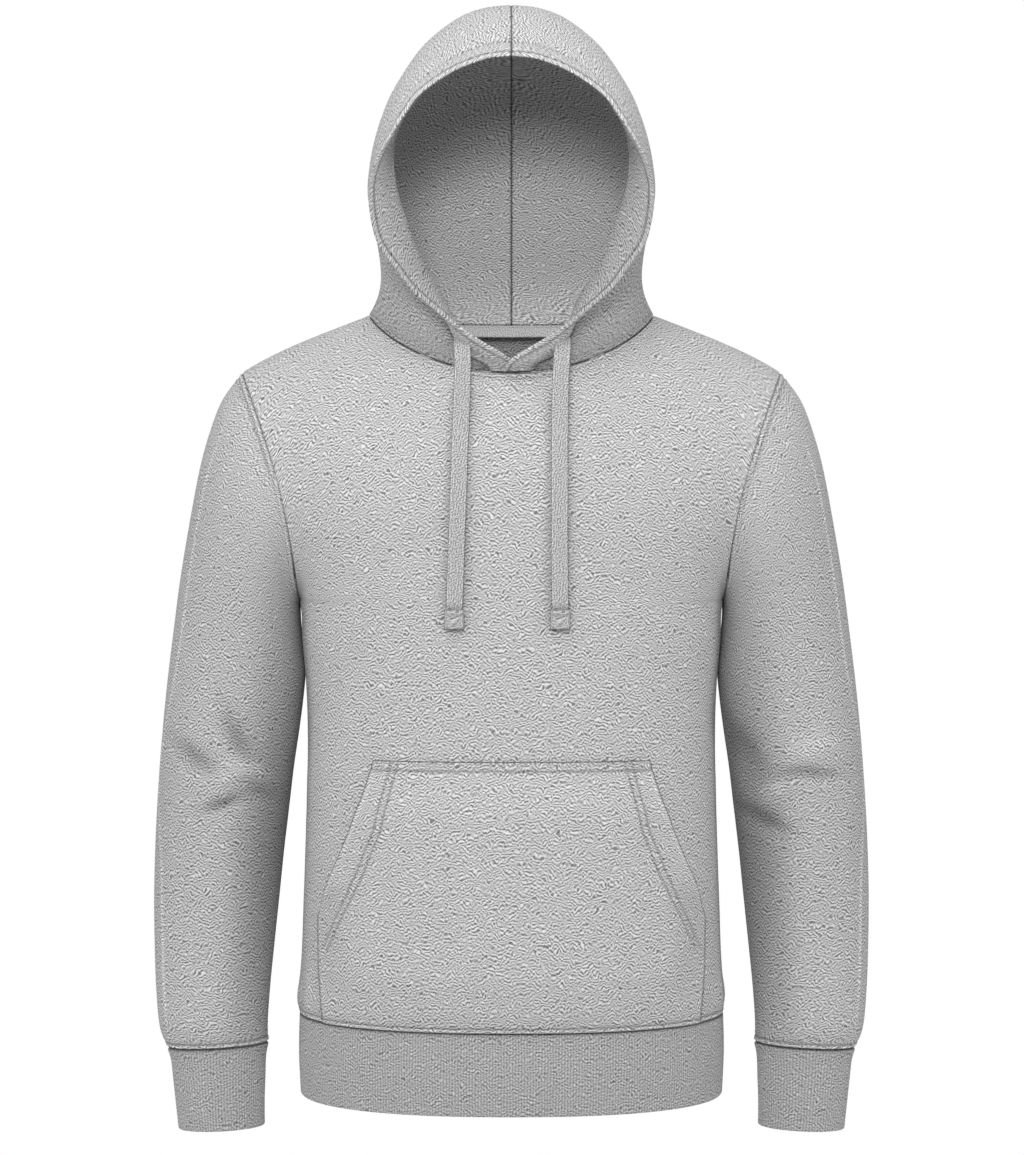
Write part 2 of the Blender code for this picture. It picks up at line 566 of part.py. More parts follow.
def pocket_grid():
    """Kangaroo pocket: the front panel's own surface moved out, sewn down along the top, the
    bottom and the lower sides, and standing off at the slanted hand openings."""
    height = np.sort(np.unique(np.concatenate([POCKET["height"], (-0.597, -0.583, -0.540, -0.503, -0.430, -0.405)])))
    width = np.interp(height, POCKET["height"], POCKET["width"])
    across = np.linspace(-1.0, 1.0, POCKET_COLUMNS + 1)
    across = across * (1.25 - 0.25 * across ** 2)
    x = width[:, None] * across[None, :]
    z = np.broadcast_to(height[:, None], x.shape)
    points = np.stack([x, body_depth(-1, x, z), z], axis=-1)
    small = 1e-4
    slope_x = (body_depth(-1, x + small, z) - body_depth(-1, x - small, z)) / (2 * small)
    slope_z = (body_depth(-1, x, z + small) - body_depth(-1, x, z - small)) / (2 * small)
    normals = unit(np.stack([slope_x, np.full_like(x, -1.0), slope_z], axis=-1))
    normals[0, :, 2] = 0.0
    normals = unit(normals)

    up = (height - height[0]) / (height[-1] - height[0])
    from_seams = soft_step(np.minimum(up, 1 - up) / POCKET_SEAM_RUN)[:, None]
    opening = soft_step((height - POCKET_SEWN_Z) / POCKET_OPEN_RUN)[:, None]
    from_side = soft_step((1 - np.abs(across)) / POCKET_SIDE_RUN)[None, :]
    lift = POCKET_EDGE_LIFT + POCKET_FULLNESS * from_seams * (opening + (1 - opening) * from_side)
    return points + normals * lift[..., None], normals


def neck_tape(points, normals):
    """Tape sewn inside over the hood seam: the back panel's own top rows moved in."""
    columns = np.arange(SHOULDER_COLUMNS, SHOULDER_COLUMNS + 2 * NECK_COLUMNS + 1)
    tape = (points[:, columns] - normals[:, columns] * (FLEECE + TAPE_GAP))[[-1, -2, -3]]
    facing = normals[:, columns][[-1, -2, -3]]
    height = tape[0, NECK_COLUMNS, 2] - tape[:, NECK_COLUMNS, 2]
    share = (TAPE_HEIGHT - height[1]) / (height[2] - height[1])
    tape[2] = tape[1] + (tape[2] - tape[1]) * share
    facing[2] = facing[1] + (facing[2] - facing[1]) * share
    return tape, unit(facing)


# ---- meshes

def quads(rows, columns, closed):
    """Corner numbers of a grid's faces."""
    across = columns if closed else columns - 1
    row, column = np.meshgrid(np.arange(rows - 1), np.arange(across), indexing="ij")
    following = (column + 1) % columns
    corners = [row * columns + column, row * columns + following,
               (row + 1) * columns + following, (row + 1) * columns + column]
    return np.stack(corners, axis=-1).reshape(-1, 4)


def make_object(name, vertices, faces, material, collection):
    """One closed mesh object with its faces pointing out."""
    mesh = bpy.data.meshes.new(name)
    mesh.from_pydata([tuple(v) for v in vertices], [], [tuple(f) for f in faces])
    mesh.materials.append(material)
    piece = bpy.data.objects.new(name, mesh)
    collection.objects.link(piece)
    point_outwards(mesh)
    mesh.shade_smooth()
    mesh.set_sharp_from_angle(angle=math.radians(40))
    return piece


def point_outwards(mesh):
    """Turns every face if the mesh encloses a negative volume."""
    volume = 0.0
    for polygon in mesh.polygons:
        corners = [mesh.vertices[i].co for i in polygon.vertices]
        for second, third in zip(corners[1:], corners[2:]):
            volume += corners[0].dot(second.cross(third))
    if volume < 0:
        mesh.flip_normals()


def panel(name, points, normals, thickness, material, collection):
    """Wall over an open grid: outer and inner surface joined by a rim all round."""
    rows, columns = points.shape[:2]
    inner = points - normals * thickness
    faces = quads(rows, columns, False)
    offset = rows * columns
    rim = np.concatenate([np.arange(columns), np.arange(2 * columns - 1, offset, columns),
                          np.arange(offset - 2, offset - columns - 1, -1),
                          np.arange(offset - 2 * columns, 0, -columns)])
    after = np.roll(rim, -1)
    edge = np.stack([after, rim, rim + offset, after + offset], axis=-1)
    every = [tuple(f) for f in faces] + [tuple(f[::-1]) for f in faces + offset] + [tuple(f) for f in edge]
    vertices = np.concatenate([points.reshape(-1, 3), inner.reshape(-1, 3)])
    return make_object(name, vertices, every, material, collection)


def tube(name, outer, inner, material, collection):
    """Wall over a closed grid.  The inner surface may have fewer columns, an even share of the
    outer ones: the rims join each inner column to its share of outer columns."""
    rows, columns = outer.shape[:2]
    inner_rows, inner_columns = inner.shape[:2]
    share = columns // inner_columns
    offset = rows * columns
    faces = [tuple(f) for f in quads(rows, columns, True)]
    faces += [tuple(f[::-1]) for f in quads(inner_rows, inner_columns, True) + offset]
    for outer_row, inner_row, turned in ((0, 0, False), (rows - 1, inner_rows - 1, True)):
        for column in range(inner_columns):
            inner_here = offset + inner_row * inner_columns + column
            inner_next = offset + inner_row * inner_columns + (column + 1) % inner_columns
            fan = [outer_row * columns + (column * share + k) % columns for k in range(share + 1)]
            if share == 1:
                rim = [(inner_here, inner_next, fan[1], fan[0])]
            else:
                rim = [(inner_here, fan[k + 1], fan[k]) for k in range(share)]
                rim.append((inner_here, inner_next, fan[-1]))
            faces += [f[::-1] for f in rim] if turned else rim
    vertices = np.concatenate([outer.reshape(-1, 3), inner.reshape(-1, 3)])
    return make_object(name, vertices, faces, material, collection)


def rib_tube(name, points, normals, material, collection):
    """Rib knit tube: raised ribs outside over a plain inside."""
    keep = np.arange(0, points.shape[1], PLAIN_STEP)
    inner = (points - normals * RIB_CLOTH)[[0, -1]][:, keep]
    return tube(name, raised_ribs(points, normals), inner, material, collection)


def mirrored(points):
    """The same points on the other side of the garment."""
    return points * np.array([-1.0, 1.0, 1.0])


def cord(name, route, material, collection):
    """Flat drawcord along its route, hanging free.  The curve is laid out along its own Y with
    Z across the tape's face, where the upright twist mode keeps it flat, then turned to hang."""
    knots = np.arange(len(route), dtype=float)
    place = np.concatenate([np.linspace(0, 2, 4), np.linspace(2, knots[-1], CORD_POINTS - 3)[1:]])
    x, y, z = (through(place, knots, np.array(route)[:, axis]) for axis in range(3))
    curve = bpy.data.curves.new(name, "CURVE")
    curve.dimensions = "3D"
    curve.fill_mode = "FULL"
    curve.bevel_depth = CORD_THICKNESS / 2
    curve.bevel_resolution = 2
    curve.extrude = (CORD_WIDTH - CORD_THICKNESS) / 2
    curve.use_fill_caps = True
    curve.resolution_u = 1
    curve.render_resolution_u = 0
    curve.twist_mode = "Z_UP"
    spline = curve.splines.new("POLY")
    spline.points.add(len(place) - 1)
    for control, along, below, ahead in zip(spline.points, x, -z, y):
        control.co = (along, below, ahead, 1.0)
        control.tilt = math.pi / 2
    curve.materials.append(material)
    piece = bpy.data.objects.new(name, curve)
    piece.rotation_euler = (-math.pi / 2, 0.0, 0.0)
    collection.objects.link(piece)
    return piece


def cord_tip(name, route, material, collection):
    """Folded and stitched end of a drawcord: a rounded block just below the tape."""
    bpy.ops.mesh.primitive_cube_add(size=1.0)
    piece = bpy.context.object
    piece.name = name
    piece.data.name = name
    for vertex in piece.data.vertices:
        vertex.co = (vertex.co.x * TIP_WIDTH, vertex.co.y * TIP_THICKNESS, vertex.co.z * TIP_LENGTH)
    x, y, z = route[-1]
    piece.location = (x, y, z - SEAM_GAP - TIP_LENGTH / 2)
    bevel = piece.modifiers.new("soft edges", "BEVEL")
    bevel.width = 0.0012
    bevel.segments = 2
    piece.data.materials.append(material)
    for other in piece.users_collection:
        other.objects.unlink(piece)
    collection.objects.link(piece)
    return piece


def cloth_material(name, colour, roughness):
    """Plain cloth finish."""
    material = bpy.data.materials.new(name)
    material.use_nodes = True
    shader = material.node_tree.nodes["Principled BSDF"]
    shader.inputs["Base Color"].default_value = (*colour, 1.0)
    shader.inputs["Roughness"].default_value = roughness
    shader.inputs["Metallic"].default_value = 0.0
    return material


def build():
    """Empties the scene and makes every piece of the hoodie."""
    for old in list(bpy.data.objects):
        bpy.data.objects.remove(old)
    pieces = bpy.data.collections.new(OBJECT_NAME)
    bpy.context.scene.collection.children.link(pieces)

    fleece = cloth_material("grey_marl_fleece", (0.50, 0.50, 0.50), 0.95)
    rib = cloth_material("grey_marl_rib", (0.42, 0.42, 0.42), 0.95)
    tape = cloth_material("grey_cord_tape", (0.48, 0.48, 0.48), 0.90)

    front, front_normals = body_panel(-1)
    back, back_normals = body_panel(1)
    panel("front_panel", front, front_normals, FLEECE, fleece, pieces)
    panel("back_panel", back, back_normals, FLEECE, fleece, pieces)
    band, band_normals = band_grid()
    rib_tube("waistband", band, band_normals, rib, pieces)
    pocket, pocket_normals = pocket_grid()
    panel("kangaroo_pocket", pocket + pocket_normals * FLEECE, pocket_normals, FLEECE, fleece, pieces)
    tape_points, tape_normals = neck_tape(back, back_normals)
    panel("back_neck_tape", tape_points, tape_normals, TAPE_CLOTH, fleece, pieces)

    for side in ("left", "right"):
        placed = (lambda p: p) if side == "left" else mirrored
        sleeve, normals = sleeve_grid(side)
        tube("sleeve_" + side, placed(sleeve), placed(sleeve - normals * FLEECE), fleece, pieces)
        cuff, normals = cuff_grid()
        rib_tube("cuff_" + side, placed(cuff), placed(normals), rib, pieces)
        hood, normals, thickness = hood_half(side == "left")
        panel("hood_" + side, placed(hood), placed(normals), thickness, fleece, pieces)
        cord("drawcord_" + side, CORD_ROUTES[side], tape, pieces)
        cord_tip("drawcord_tip_" + side, CORD_ROUTES[side], tape, pieces)


build()
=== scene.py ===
"""Pullover hoodie in its worn, hollow form: the looks of every cut-and-sewn piece.

Metres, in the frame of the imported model: +Z up, the front faces -Y, the wearer's left is +X and
the origin lies between the shoulders.  Every piece of cloth is a thin wall.  Its outer surface is
a grid of points, a function of a place across and a place up the piece, and its inner surface
lies one cloth thickness inside along the normals.  A skin of small heights is added to the outer
surface only: seams that dip, rows of sewing that press in, ribs.
"""
import math

import bmesh
import bpy
import numpy as np
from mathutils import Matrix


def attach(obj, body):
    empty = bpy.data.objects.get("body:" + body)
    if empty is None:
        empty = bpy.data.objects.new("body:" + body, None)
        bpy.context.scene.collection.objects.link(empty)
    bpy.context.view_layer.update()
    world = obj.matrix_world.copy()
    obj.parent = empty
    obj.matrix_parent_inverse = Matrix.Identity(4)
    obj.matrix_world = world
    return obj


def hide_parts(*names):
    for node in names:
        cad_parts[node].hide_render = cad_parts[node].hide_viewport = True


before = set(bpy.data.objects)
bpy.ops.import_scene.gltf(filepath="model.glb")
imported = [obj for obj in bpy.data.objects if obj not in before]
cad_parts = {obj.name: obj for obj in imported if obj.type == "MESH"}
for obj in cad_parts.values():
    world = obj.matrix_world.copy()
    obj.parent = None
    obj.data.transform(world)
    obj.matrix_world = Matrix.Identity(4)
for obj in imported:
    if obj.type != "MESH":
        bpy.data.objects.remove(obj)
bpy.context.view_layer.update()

# ---- cloth and seams
FLEECE = 0.0020          # brushed sweatshirt knit
RIB_CLOTH = 0.0026       # rib knit, folded double
TAPE_CLOTH = 0.0010      # neck tape
TAPE_GAP = 0.0008        # between the neck tape and the cloth at its seam
TAPE_HEIGHT = 0.0110
TAPE_LEAN = 0.14         # how much it leans to the back, for each metre down
SEAM_BLEND = 0.030       # over this the wall's thickness turns to the direction of its seam
WAIST_BLEND = 0.010      # the same at the waist seam
CUFF_BLEND = 0.012       # at the end of a sleeve
CROWN_BLEND = 0.020      # and beside the hood's centre seam
SEAM_STEPS = np.array((0.0, 0.0004, 0.0009, 0.0015, 0.0023, 0.0032, 0.0042, 0.0050, 0.0058, 0.0067,
                       0.0080, 0.0100))  # rows of points beside a seam
NEAR_SEAM = SEAM_STEPS[:8]   # the nearest of them, on sleeves and rib tubes
NO_SEAM = SEAM_STEPS[:1]     # no rows beside an end that is no seam
SEWN_AT = 7              # number of the row of points that the topstitching follows
SEWN = SEAM_STEPS[SEWN_AT]   # and its distance from the seam
SEAM_DEPTH = 0.0016      # how far the cloth rolls down into a seam
SEAM_WIDTH = 0.0010
CLOTH_STEP = 0.0036      # between points elsewhere
OTHER_CUT = 0.83         # how much further along the marl the right side's pieces are cut

# ---- sleeve
PRESSED_CREASE = 0.64    # angle of the crease pressed along a sleeve, from its outer side forwards
CREASE_AT_ELBOW = 0.30   # the same at the elbow, where the crease runs out to the side
ELBOW_Z = -0.408
ELBOW_REACH = 0.055      # over this the crease comes back forwards, above and below the elbow
ARM_GIRTH = 0.44         # round a sleeve, along the cloth
ARM_STEP = 0.0030        # between points round it
FOLD_SHADE = 75          # painted shade in a fold and painted light on a ridge, for each metre of its depth
CREASE_COLUMNS = np.array((-0.045, -0.030, -0.018, -0.008, 0.0, 0.008, 0.018, 0.030, 0.045))
                         # angles beside the crease that have columns of points

# ---- body
WAIST_SEAM_Z = -0.6100
UNDERARM_Z = -0.2500
SAME_WIDTH_Z = -0.4400   # below this the body is as wide as its oval
BAND_HEIGHT = 0.0700
BODY_SQUARENESS = 2.3    # 2 is an ellipse, more is squarer
SHOULDER_X = 0.2363      # shoulder point, where the sleeve's crown is sewn on
SHOULDER_Z = -0.0500
SHOULDER_END_DROP = 0.15  # share of the shoulder's fall that comes near its end
FRONT_ROLL = 0.200       # height over which the body rounds over to the shoulder seam
BACK_ROLL = 0.160
RIDGE_RISE = 0.30        # slope of the shoulder ridge carried on inside the neck
NECK_HALF = 0.1250
NECK_FRONT = 0.0980      # how far the neck seam reaches forwards
NECK_BACK = 0.0800
NECK_FRONT_DROP = 0.0575
NECK_BACK_DROP = 0.0005
NECK_DIP = 1.5           # how sharply the neck seam dips to the centre
NECK_TILT = 0.45         # slope of the cloth at the neck seam, front and back
NECK_SIDE_TILT = 1.05    # and on the shoulder
NECK_SHARE = 0.6         # share of a panel's width that ends on the neck seam
PANEL_HALF = 0.285       # half of a panel's width, along the cloth
PANEL_ABOVE = 0.24       # its height along the cloth above the underarm
GATHERS = (0.0010, 185, 21)  # height of the gathers above the waistband, and their waves

# ---- armhole, a ring through the shoulder point and the underarm
ARM_MIDDLE_X = 0.2110
ARM_SPREAD_X = 0.0253
ARM_SCOOP = 0.0115       # how far the middle of the armhole is cut in
ARM_FRONT = 0.0780
ARM_BACK = 0.0850

# ---- hood
CHANNEL_WIDTH = 0.0250   # tunnel of the drawcord along the hood's front edge
CHANNEL_PUFF = 0.0032    # what the drawcord in its channel adds to the cloth
FOLD_EXTRA = 0.0020      # double cloth at the folded edge
CHANNEL_FLAT = 0.35      # share of the channel's fullness left where it is sewn into the neck
CHANNEL_FLAT_OVER = 0.9  # and of the one that lies on top there
OVERLAP_OUT = 0.0036     # the left edge lies on the right one where they cross
OVERLAP_IN = 0.0032
FOLD_ROUND = 0.0046      # radius of the folded edge
EDGE_SEWN = 0.0042       # row of sewing beside the folded edge
HOOD_EDGE_COLUMN = 7     # number of the column of points that it follows
UNSEWN_ENDS = 6          # rows of points at each end of that edge that have no stitches
NECK_SEWN_FROM = 12      # number of the column of points where the neck's sewing starts
CHANNEL_STEP = 0.0018    # between points over the channel
AHEAD_LENGTH = 0.10      # from the crease to the side, along the cloth
BEHIND_LENGTH = 0.15     # from the side to the centre seam
TICKS = (880, 95)        # waves of the small puckers along the sewn edge
CHANNEL_STEPS = (0.0, 0.0002, 0.0006, 0.0012, 0.0020, 0.0030, 0.0036, EDGE_SEWN, 0.0049)
CREASE_STEPS = (0.0, 0.0006, 0.0014, 0.0026, 0.0045)  # columns beside the folded edge and the crease

# ---- ribs
RIB_PITCH = 0.0024
RIB_HEIGHT = 0.0005
RIB_POINTS = 4           # columns of points for each rib
RIB_TURN = 0.008         # height over which a rib tube's wall turns to the direction of its seam
RIB_FOLD = 0.0016        # roundness of its folded lower edge
RIB_EDGE = np.array((0.0, 0.0003, 0.0008, RIB_FOLD, 0.0030))  # rows of points beside it
CUFF_HEIGHT = 0.07

# ---- pocket
POCKET_TOP_Z = -0.3837
POCKET_EDGE_LIFT = 0.0006
POCKET_HALF = 0.165      # half of its width
POCKET_STEPS = (0.0018, 0.0024)  # between columns and between rows of points
HEM_COLUMNS = np.arange(0.788, 0.884, 0.0045)  # more columns where the hems run, as shares
POCKET_FULLNESS = 0.0085
POCKET_SEWN_Z = -0.5193  # below this the pocket's sides are sewn down
HEM_ROWS_APART = 0.0057  # between the two rows of sewing of the slanted hems
HEM_LOW_Z = -0.5478      # where the outer one meets the pocket's side
SECOND_ROW = 0.0080      # from the pocket's top down to its second row of sewing
SIDE_SEWN = 0.0023       # row of sewing beside the edge that is sewn down
TOP_SEWN_AT = (4, 10)    # numbers of the rows of points that the sewing along its top follows

# ---- drawcord
CORD_WIDTH = 0.0140
CORD_THICKNESS = 0.0026
TIP_WIDTH = 0.0165
TIP_LENGTH = 0.0165
TIP_THICKNESS = 0.0046
TIP_BARS = (0.0032, 0.0044)  # rows of the bar sewn across it, from its top
CORD_FREE_Z = -0.066     # below this the cords lie on the front

# ---- camera and room
CAMERA_PLACE = (0.0005, -2.3300, -0.2301)
FRAME_HEIGHT = 1155      # of the rendered frame, in its pixels
FOCAL_PIXELS = 2648      # focal length in the same pixels
SENSOR = 36.0            # height of the camera's sensor, in millimetres
FLOOR_Z = -1.45
FLOOR_SIZE = 6.0
ROOM_LIGHT = 0.40        # strength of the white surroundings as a light
LIT_POINT = (0.0, 0.0, -0.1)
LIGHTS = (               # name, place, size and power; each shines at the lit point
    ("key_light", (-0.20, -2.90, 0.80), 0.9, 44.5),
    ("left_light", (-2.30, -1.00, 0.40), 1.0, 14.0),
    ("right_light", (2.30, -1.00, 0.40), 1.0, 15.0),
    ("top_light", (-0.20, -1.30, 2.30), 1.2, 30.0),
)


def table(columns, *rows):
    """A short table: the name of each column and its numbers."""
    return {name: np.array(numbers, float) for name, numbers in zip(columns.split(), zip(*rows))}


# Half widths: of the body where the sleeves leave it free, and of the oval that its front and back
# follow, which is wider under the arms.  Front and back say how far the oval reaches those ways.
BODY = table(
    "height   width   section front   back",
    (-0.610, 0.1852, 0.1852, 0.1270, 0.1180),
    (-0.598, 0.1872, 0.1872, 0.1300, 0.1210),
    (-0.575, 0.1850, 0.1850, 0.1292, 0.1195),
    (-0.510, 0.1822, 0.1822, 0.1280, 0.1165),
    (-0.440, 0.1800, 0.1800, 0.1260, 0.1140),
    (-0.380, 0.1790, 0.1792, 0.1245, 0.1140),
    (-0.320, 0.1806, 0.1826, 0.1240, 0.1175),
    (-0.285, 0.1836, 0.1880, 0.1240, 0.1205),
    (-0.250, 0.1860, 0.1955, 0.1240, 0.1240),
    (-0.215, 0.2043, 0.2065, 0.1240, 0.1270),
    (-0.185, 0.2241, 0.2225, 0.1235, 0.1290),
    (-0.155, 0.2376, 0.2370, 0.1225, 0.1300),
    (-0.120, 0.2470, 0.2470, 0.1205, 0.1300),
    (-0.090, 0.2520, 0.2520, 0.1180, 0.1280),
    (-0.050, 0.2550, 0.2550, 0.1150, 0.1250),
    (0.040, 0.2570, 0.2570, 0.1100, 0.1200),
)

WAISTBAND = table(
    "height   width   front   back",
    (-0.6800, 0.1842, 0.1250, 0.1160),
    (-0.6450, 0.1858, 0.1272, 0.1182),
    (-0.6103, 0.1852, 0.1270, 0.1180),
)

# Rings round a sleeve, from the armhole down to the cuff: each one's outermost and innermost place,
# and how far it reaches to the front and the back of its middle.  The scoop cuts in the armhole.
SLEEVE = table(
    "outer_x  outer_z  inner_x  inner_z  middle_y  front   back    scoop",
    (0.2363, -0.0500, 0.1857, -0.2500, 0.0000, 0.0780, 0.0850, 0.0115),
    (0.2539, -0.0740, 0.1864, -0.2575, 0.0010, 0.0780, 0.0830, 0.0080),
    (0.2650, -0.1020, 0.1859, -0.2665, 0.0025, 0.0770, 0.0800, 0.0045),
    (0.2740, -0.1340, 0.1850, -0.2775, 0.0045, 0.0755, 0.0770, 0.0015),
    (0.2830, -0.1800, 0.1836, -0.2935, 0.0065, 0.0735, 0.0740, 0.0000),
    (0.2915, -0.2300, 0.1818, -0.3125, 0.0075, 0.0710, 0.0705, 0.0000),
    (0.2980, -0.2800, 0.1838, -0.3370, 0.0070, 0.0680, 0.0670, 0.0000),
    (0.3035, -0.3270, 0.1873, -0.3650, 0.0055, 0.0650, 0.0640, 0.0000),
    (0.3075, -0.3720, 0.1918, -0.3970, 0.0030, 0.0620, 0.0615, 0.0000),
    (0.3105, -0.4160, 0.1957, -0.4320, 0.0010, 0.0590, 0.0590, 0.0000),
    (0.3125, -0.4620, 0.2000, -0.4700, -0.0020, 0.0560, 0.0560, 0.0000),
    (0.3132, -0.5060, 0.2036, -0.5080, -0.0055, 0.0525, 0.0525, 0.0000),
    (0.3124, -0.5480, 0.2074, -0.5470, -0.0090, 0.0480, 0.0480, 0.0000),
    (0.3107, -0.5880, 0.2110, -0.5850, -0.0120, 0.0430, 0.0430, 0.0000),
    (0.3072, -0.6220, 0.2131, -0.6180, -0.0145, 0.0370, 0.0370, 0.0000),
    (0.3002, -0.6400, 0.2124, -0.6352, -0.0155, 0.0290, 0.0290, 0.0000),
)

# Rings round a cuff, from the sleeve down to the hand.
CUFF = table(
    "outer_x  outer_z  inner_x  inner_z  middle_y  front   back",
    (0.3002, -0.6403, 0.2124, -0.6355, -0.0155, 0.0290, 0.0290),
    (0.2969, -0.6510, 0.2148, -0.6470, -0.0160, 0.0272, 0.0272),
    (0.2946, -0.6700, 0.2154, -0.6660, -0.0168, 0.0266, 0.0266),
    (0.2922, -0.6910, 0.2160, -0.6870, -0.0175, 0.0256, 0.0256),
    (0.2900, -0.7108, 0.2158, -0.7075, -0.0180, 0.0245, 0.0245),
)

# Creases where the elbow bends, on the front (1) and the back (-1) of each sleeve, in metres from
# the middle of the body.  The slant is counted from level.  Less than no depth is a ridge.
SLEEVE_FOLDS = {
    ("left", 1): table(
        "x       z        slant  length  width   depth",
        (0.2610, -0.3990, -0.07, 0.0230, 0.0048, 0.0048),
        (0.2330, -0.4020, 0.31, 0.0140, 0.0052, 0.0030),
        (0.2190, -0.4400, -0.42, 0.0220, 0.0070, 0.0050),
        (0.2001, -0.3780, -0.89, 0.0300, 0.0120, 0.0034),
        (0.2250, -0.4130, 0.90, 0.0150, 0.0080, -0.0032),
        (0.2600, -0.3760, 0.20, 0.0200, 0.0090, -0.0022),
    ),
    ("right", 1): table(
        "x       z        slant  length  width   depth",
        (0.2480, -0.4250, -0.32, 0.0180, 0.0050, 0.0056),
        (0.2740, -0.3850, 0.63, 0.0220, 0.0080, 0.0048),
        (0.2340, -0.3690, 1.11, 0.0260, 0.0090, 0.0048),
        (0.2230, -0.3960, 0.63, 0.0180, 0.0070, -0.0036),
        (0.2450, -0.4020, -0.20, 0.0160, 0.0060, -0.0020),
        (0.2150, -0.4150, 0.45, 0.0150, 0.0070, 0.0026),
    ),
    ("left", -1): table(
        "x       z        slant  length  width   depth",
        (0.2450, -0.4000, 0.15, 0.0260, 0.0070, 0.0050),
        (0.2250, -0.4300, 0.35, 0.0220, 0.0080, 0.0044),
        (0.2600, -0.4700, -0.20, 0.0240, 0.0090, 0.0036),
    ),
    ("right", -1): table(
        "x       z        slant  length  width   depth",
        (0.2550, -0.3850, 0.10, 0.0240, 0.0070, 0.0048),
        (0.2300, -0.4200, 0.30, 0.0240, 0.0080, 0.0044),
        (0.2400, -0.4600, -0.10, 0.0220, 0.0090, 0.0038),
    ),
}

# Soft troughs in the front (-1) and the back (1) of the body, in metres.  The slant is counted
# from level, and each trough is a valley with smooth sides and ends.
BODY_FOLDS = {
    -1: table(
        "x        z        slant   length  width   depth",
        (0.0370, -0.5900, 1.45, 0.022, 0.0045, 0.0014),
        (-0.1060, -0.5820, 1.15, 0.028, 0.0090, 0.0018),
        (0.1130, -0.5780, -1.10, 0.030, 0.0090, 0.0018),
        (-0.1500, -0.3250, 1.05, 0.045, 0.0110, 0.0024),
        (0.1520, -0.3200, -1.00, 0.045, 0.0110, 0.0024),
        (-0.0750, -0.2050, 0.30, 0.050, 0.0150, 0.0012),
        (0.1050, -0.2400, -0.55, 0.045, 0.0130, 0.0014),
    ),
    1: table(
        "x        z        slant   length  width   depth",
        (-0.1400, -0.3300, 0.95, 0.055, 0.0120, 0.0030),
        (0.1430, -0.3250, -0.90, 0.055, 0.0120, 0.0030),
        (-0.0300, -0.5550, 0.25, 0.070, 0.0110, 0.0026),
        (0.0600, -0.5250, -0.20, 0.060, 0.0120, 0.0024),
        (0.0050, -0.1050, 0.05, 0.080, 0.0140, 0.0022),
        (-0.0900, -0.5850, 1.20, 0.024, 0.0070, 0.0018),
        (0.0950, -0.5900, -1.25, 0.022, 0.0070, 0.0018),
    ),
}

# Hood, half of it: the folded front edge, the crease behind the drawcord channel, the widest
# place at the side, and the centre seam, each from the neck seam up to the crown.  Lap is the share
# of the overlap: one half's edge lies further out by it, the other's further in.
HOOD = table(
    "fold_x  fold_y  fold_z  crease_x crease_y crease_z side_x side_y side_z back_y back_z lap",
    (-0.0075, -0.0985, -0.0573, 0.0165, -0.0972, -0.0570, 0.1250, 0.0000, 0.0000, 0.0800, -0.0005, 0.6),
    (0.0000, -0.1090, -0.0475, 0.0220, -0.0985, -0.0510, 0.1235, 0.0020, 0.0040, 0.0830, 0.0060, 1.0),
    (0.0274, -0.1150, -0.0316, 0.0390, -0.0965, -0.0415, 0.1215, 0.0050, 0.0080, 0.0870, 0.0130, 0.5),
    (0.0452, -0.1165, -0.0201, 0.0505, -0.0935, -0.0255, 0.1195, 0.0080, 0.0130, 0.0920, 0.0210, 0.1),
    (0.0605, -0.1145, -0.0097, 0.0545, -0.0905, -0.0010, 0.1175, 0.0110, 0.0190, 0.0980, 0.0310, 0.0),
    (0.0843, -0.1070, 0.0109, 0.0710, -0.0875, 0.0260, 0.1160, 0.0150, 0.0270, 0.1060, 0.0440, 0.0),
    (0.0970, -0.1015, 0.0281, 0.0793, -0.0825, 0.0420, 0.1155, 0.0190, 0.0370, 0.1150, 0.0590, 0.0),
    (0.1126, -0.0930, 0.0500, 0.0863, -0.0750, 0.0600, 0.1170, 0.0230, 0.0530, 0.1270, 0.0800, 0.0),
    (0.1190, -0.0860, 0.0700, 0.0919, -0.0685, 0.0770, 0.1205, 0.0270, 0.0720, 0.1360, 0.1000, 0.0),
    (0.1219, -0.0800, 0.0918, 0.0978, -0.0610, 0.0945, 0.1260, 0.0300, 0.0960, 0.1440, 0.1230, 0.0),
    (0.1208, -0.0745, 0.1100, 0.1016, -0.0530, 0.1130, 0.1282, 0.0330, 0.1160, 0.1485, 0.1420, 0.0),
    (0.1142, -0.0690, 0.1302, 0.1036, -0.0460, 0.1340, 0.1262, 0.0350, 0.1380, 0.1500, 0.1610, 0.0),
    (0.1045, -0.0650, 0.1480, 0.1012, -0.0450, 0.1545, 0.1225, 0.0350, 0.1570, 0.1490, 0.1770, 0.0),
    (0.0925, -0.0615, 0.1670, 0.0970, -0.0410, 0.1765, 0.1155, 0.0350, 0.1800, 0.1460, 0.1930, 0.0),
    (0.0785, -0.0590, 0.1858, 0.0835, -0.0385, 0.1965, 0.1040, 0.0350, 0.2060, 0.1410, 0.2080, 0.0),
    (0.0511, -0.0565, 0.2051, 0.0545, -0.0360, 0.2185, 0.0800, 0.0350, 0.2420, 0.1340, 0.2220, 0.0),
    (0.0260, -0.0553, 0.2155, 0.0275, -0.0356, 0.2305, 0.0500, 0.0350, 0.2670, 0.1280, 0.2310, 0.0),
    (0.0130, -0.0550, 0.2182, 0.0137, -0.0355, 0.2335, 0.0250, 0.0350, 0.2772, 0.1250, 0.2350, 0.0),
    (0.0001, -0.0550, 0.2190, 0.0001, -0.0355, 0.2345, 0.0002, 0.0350, 0.2802, 0.1220, 0.2385, 0.0),
)

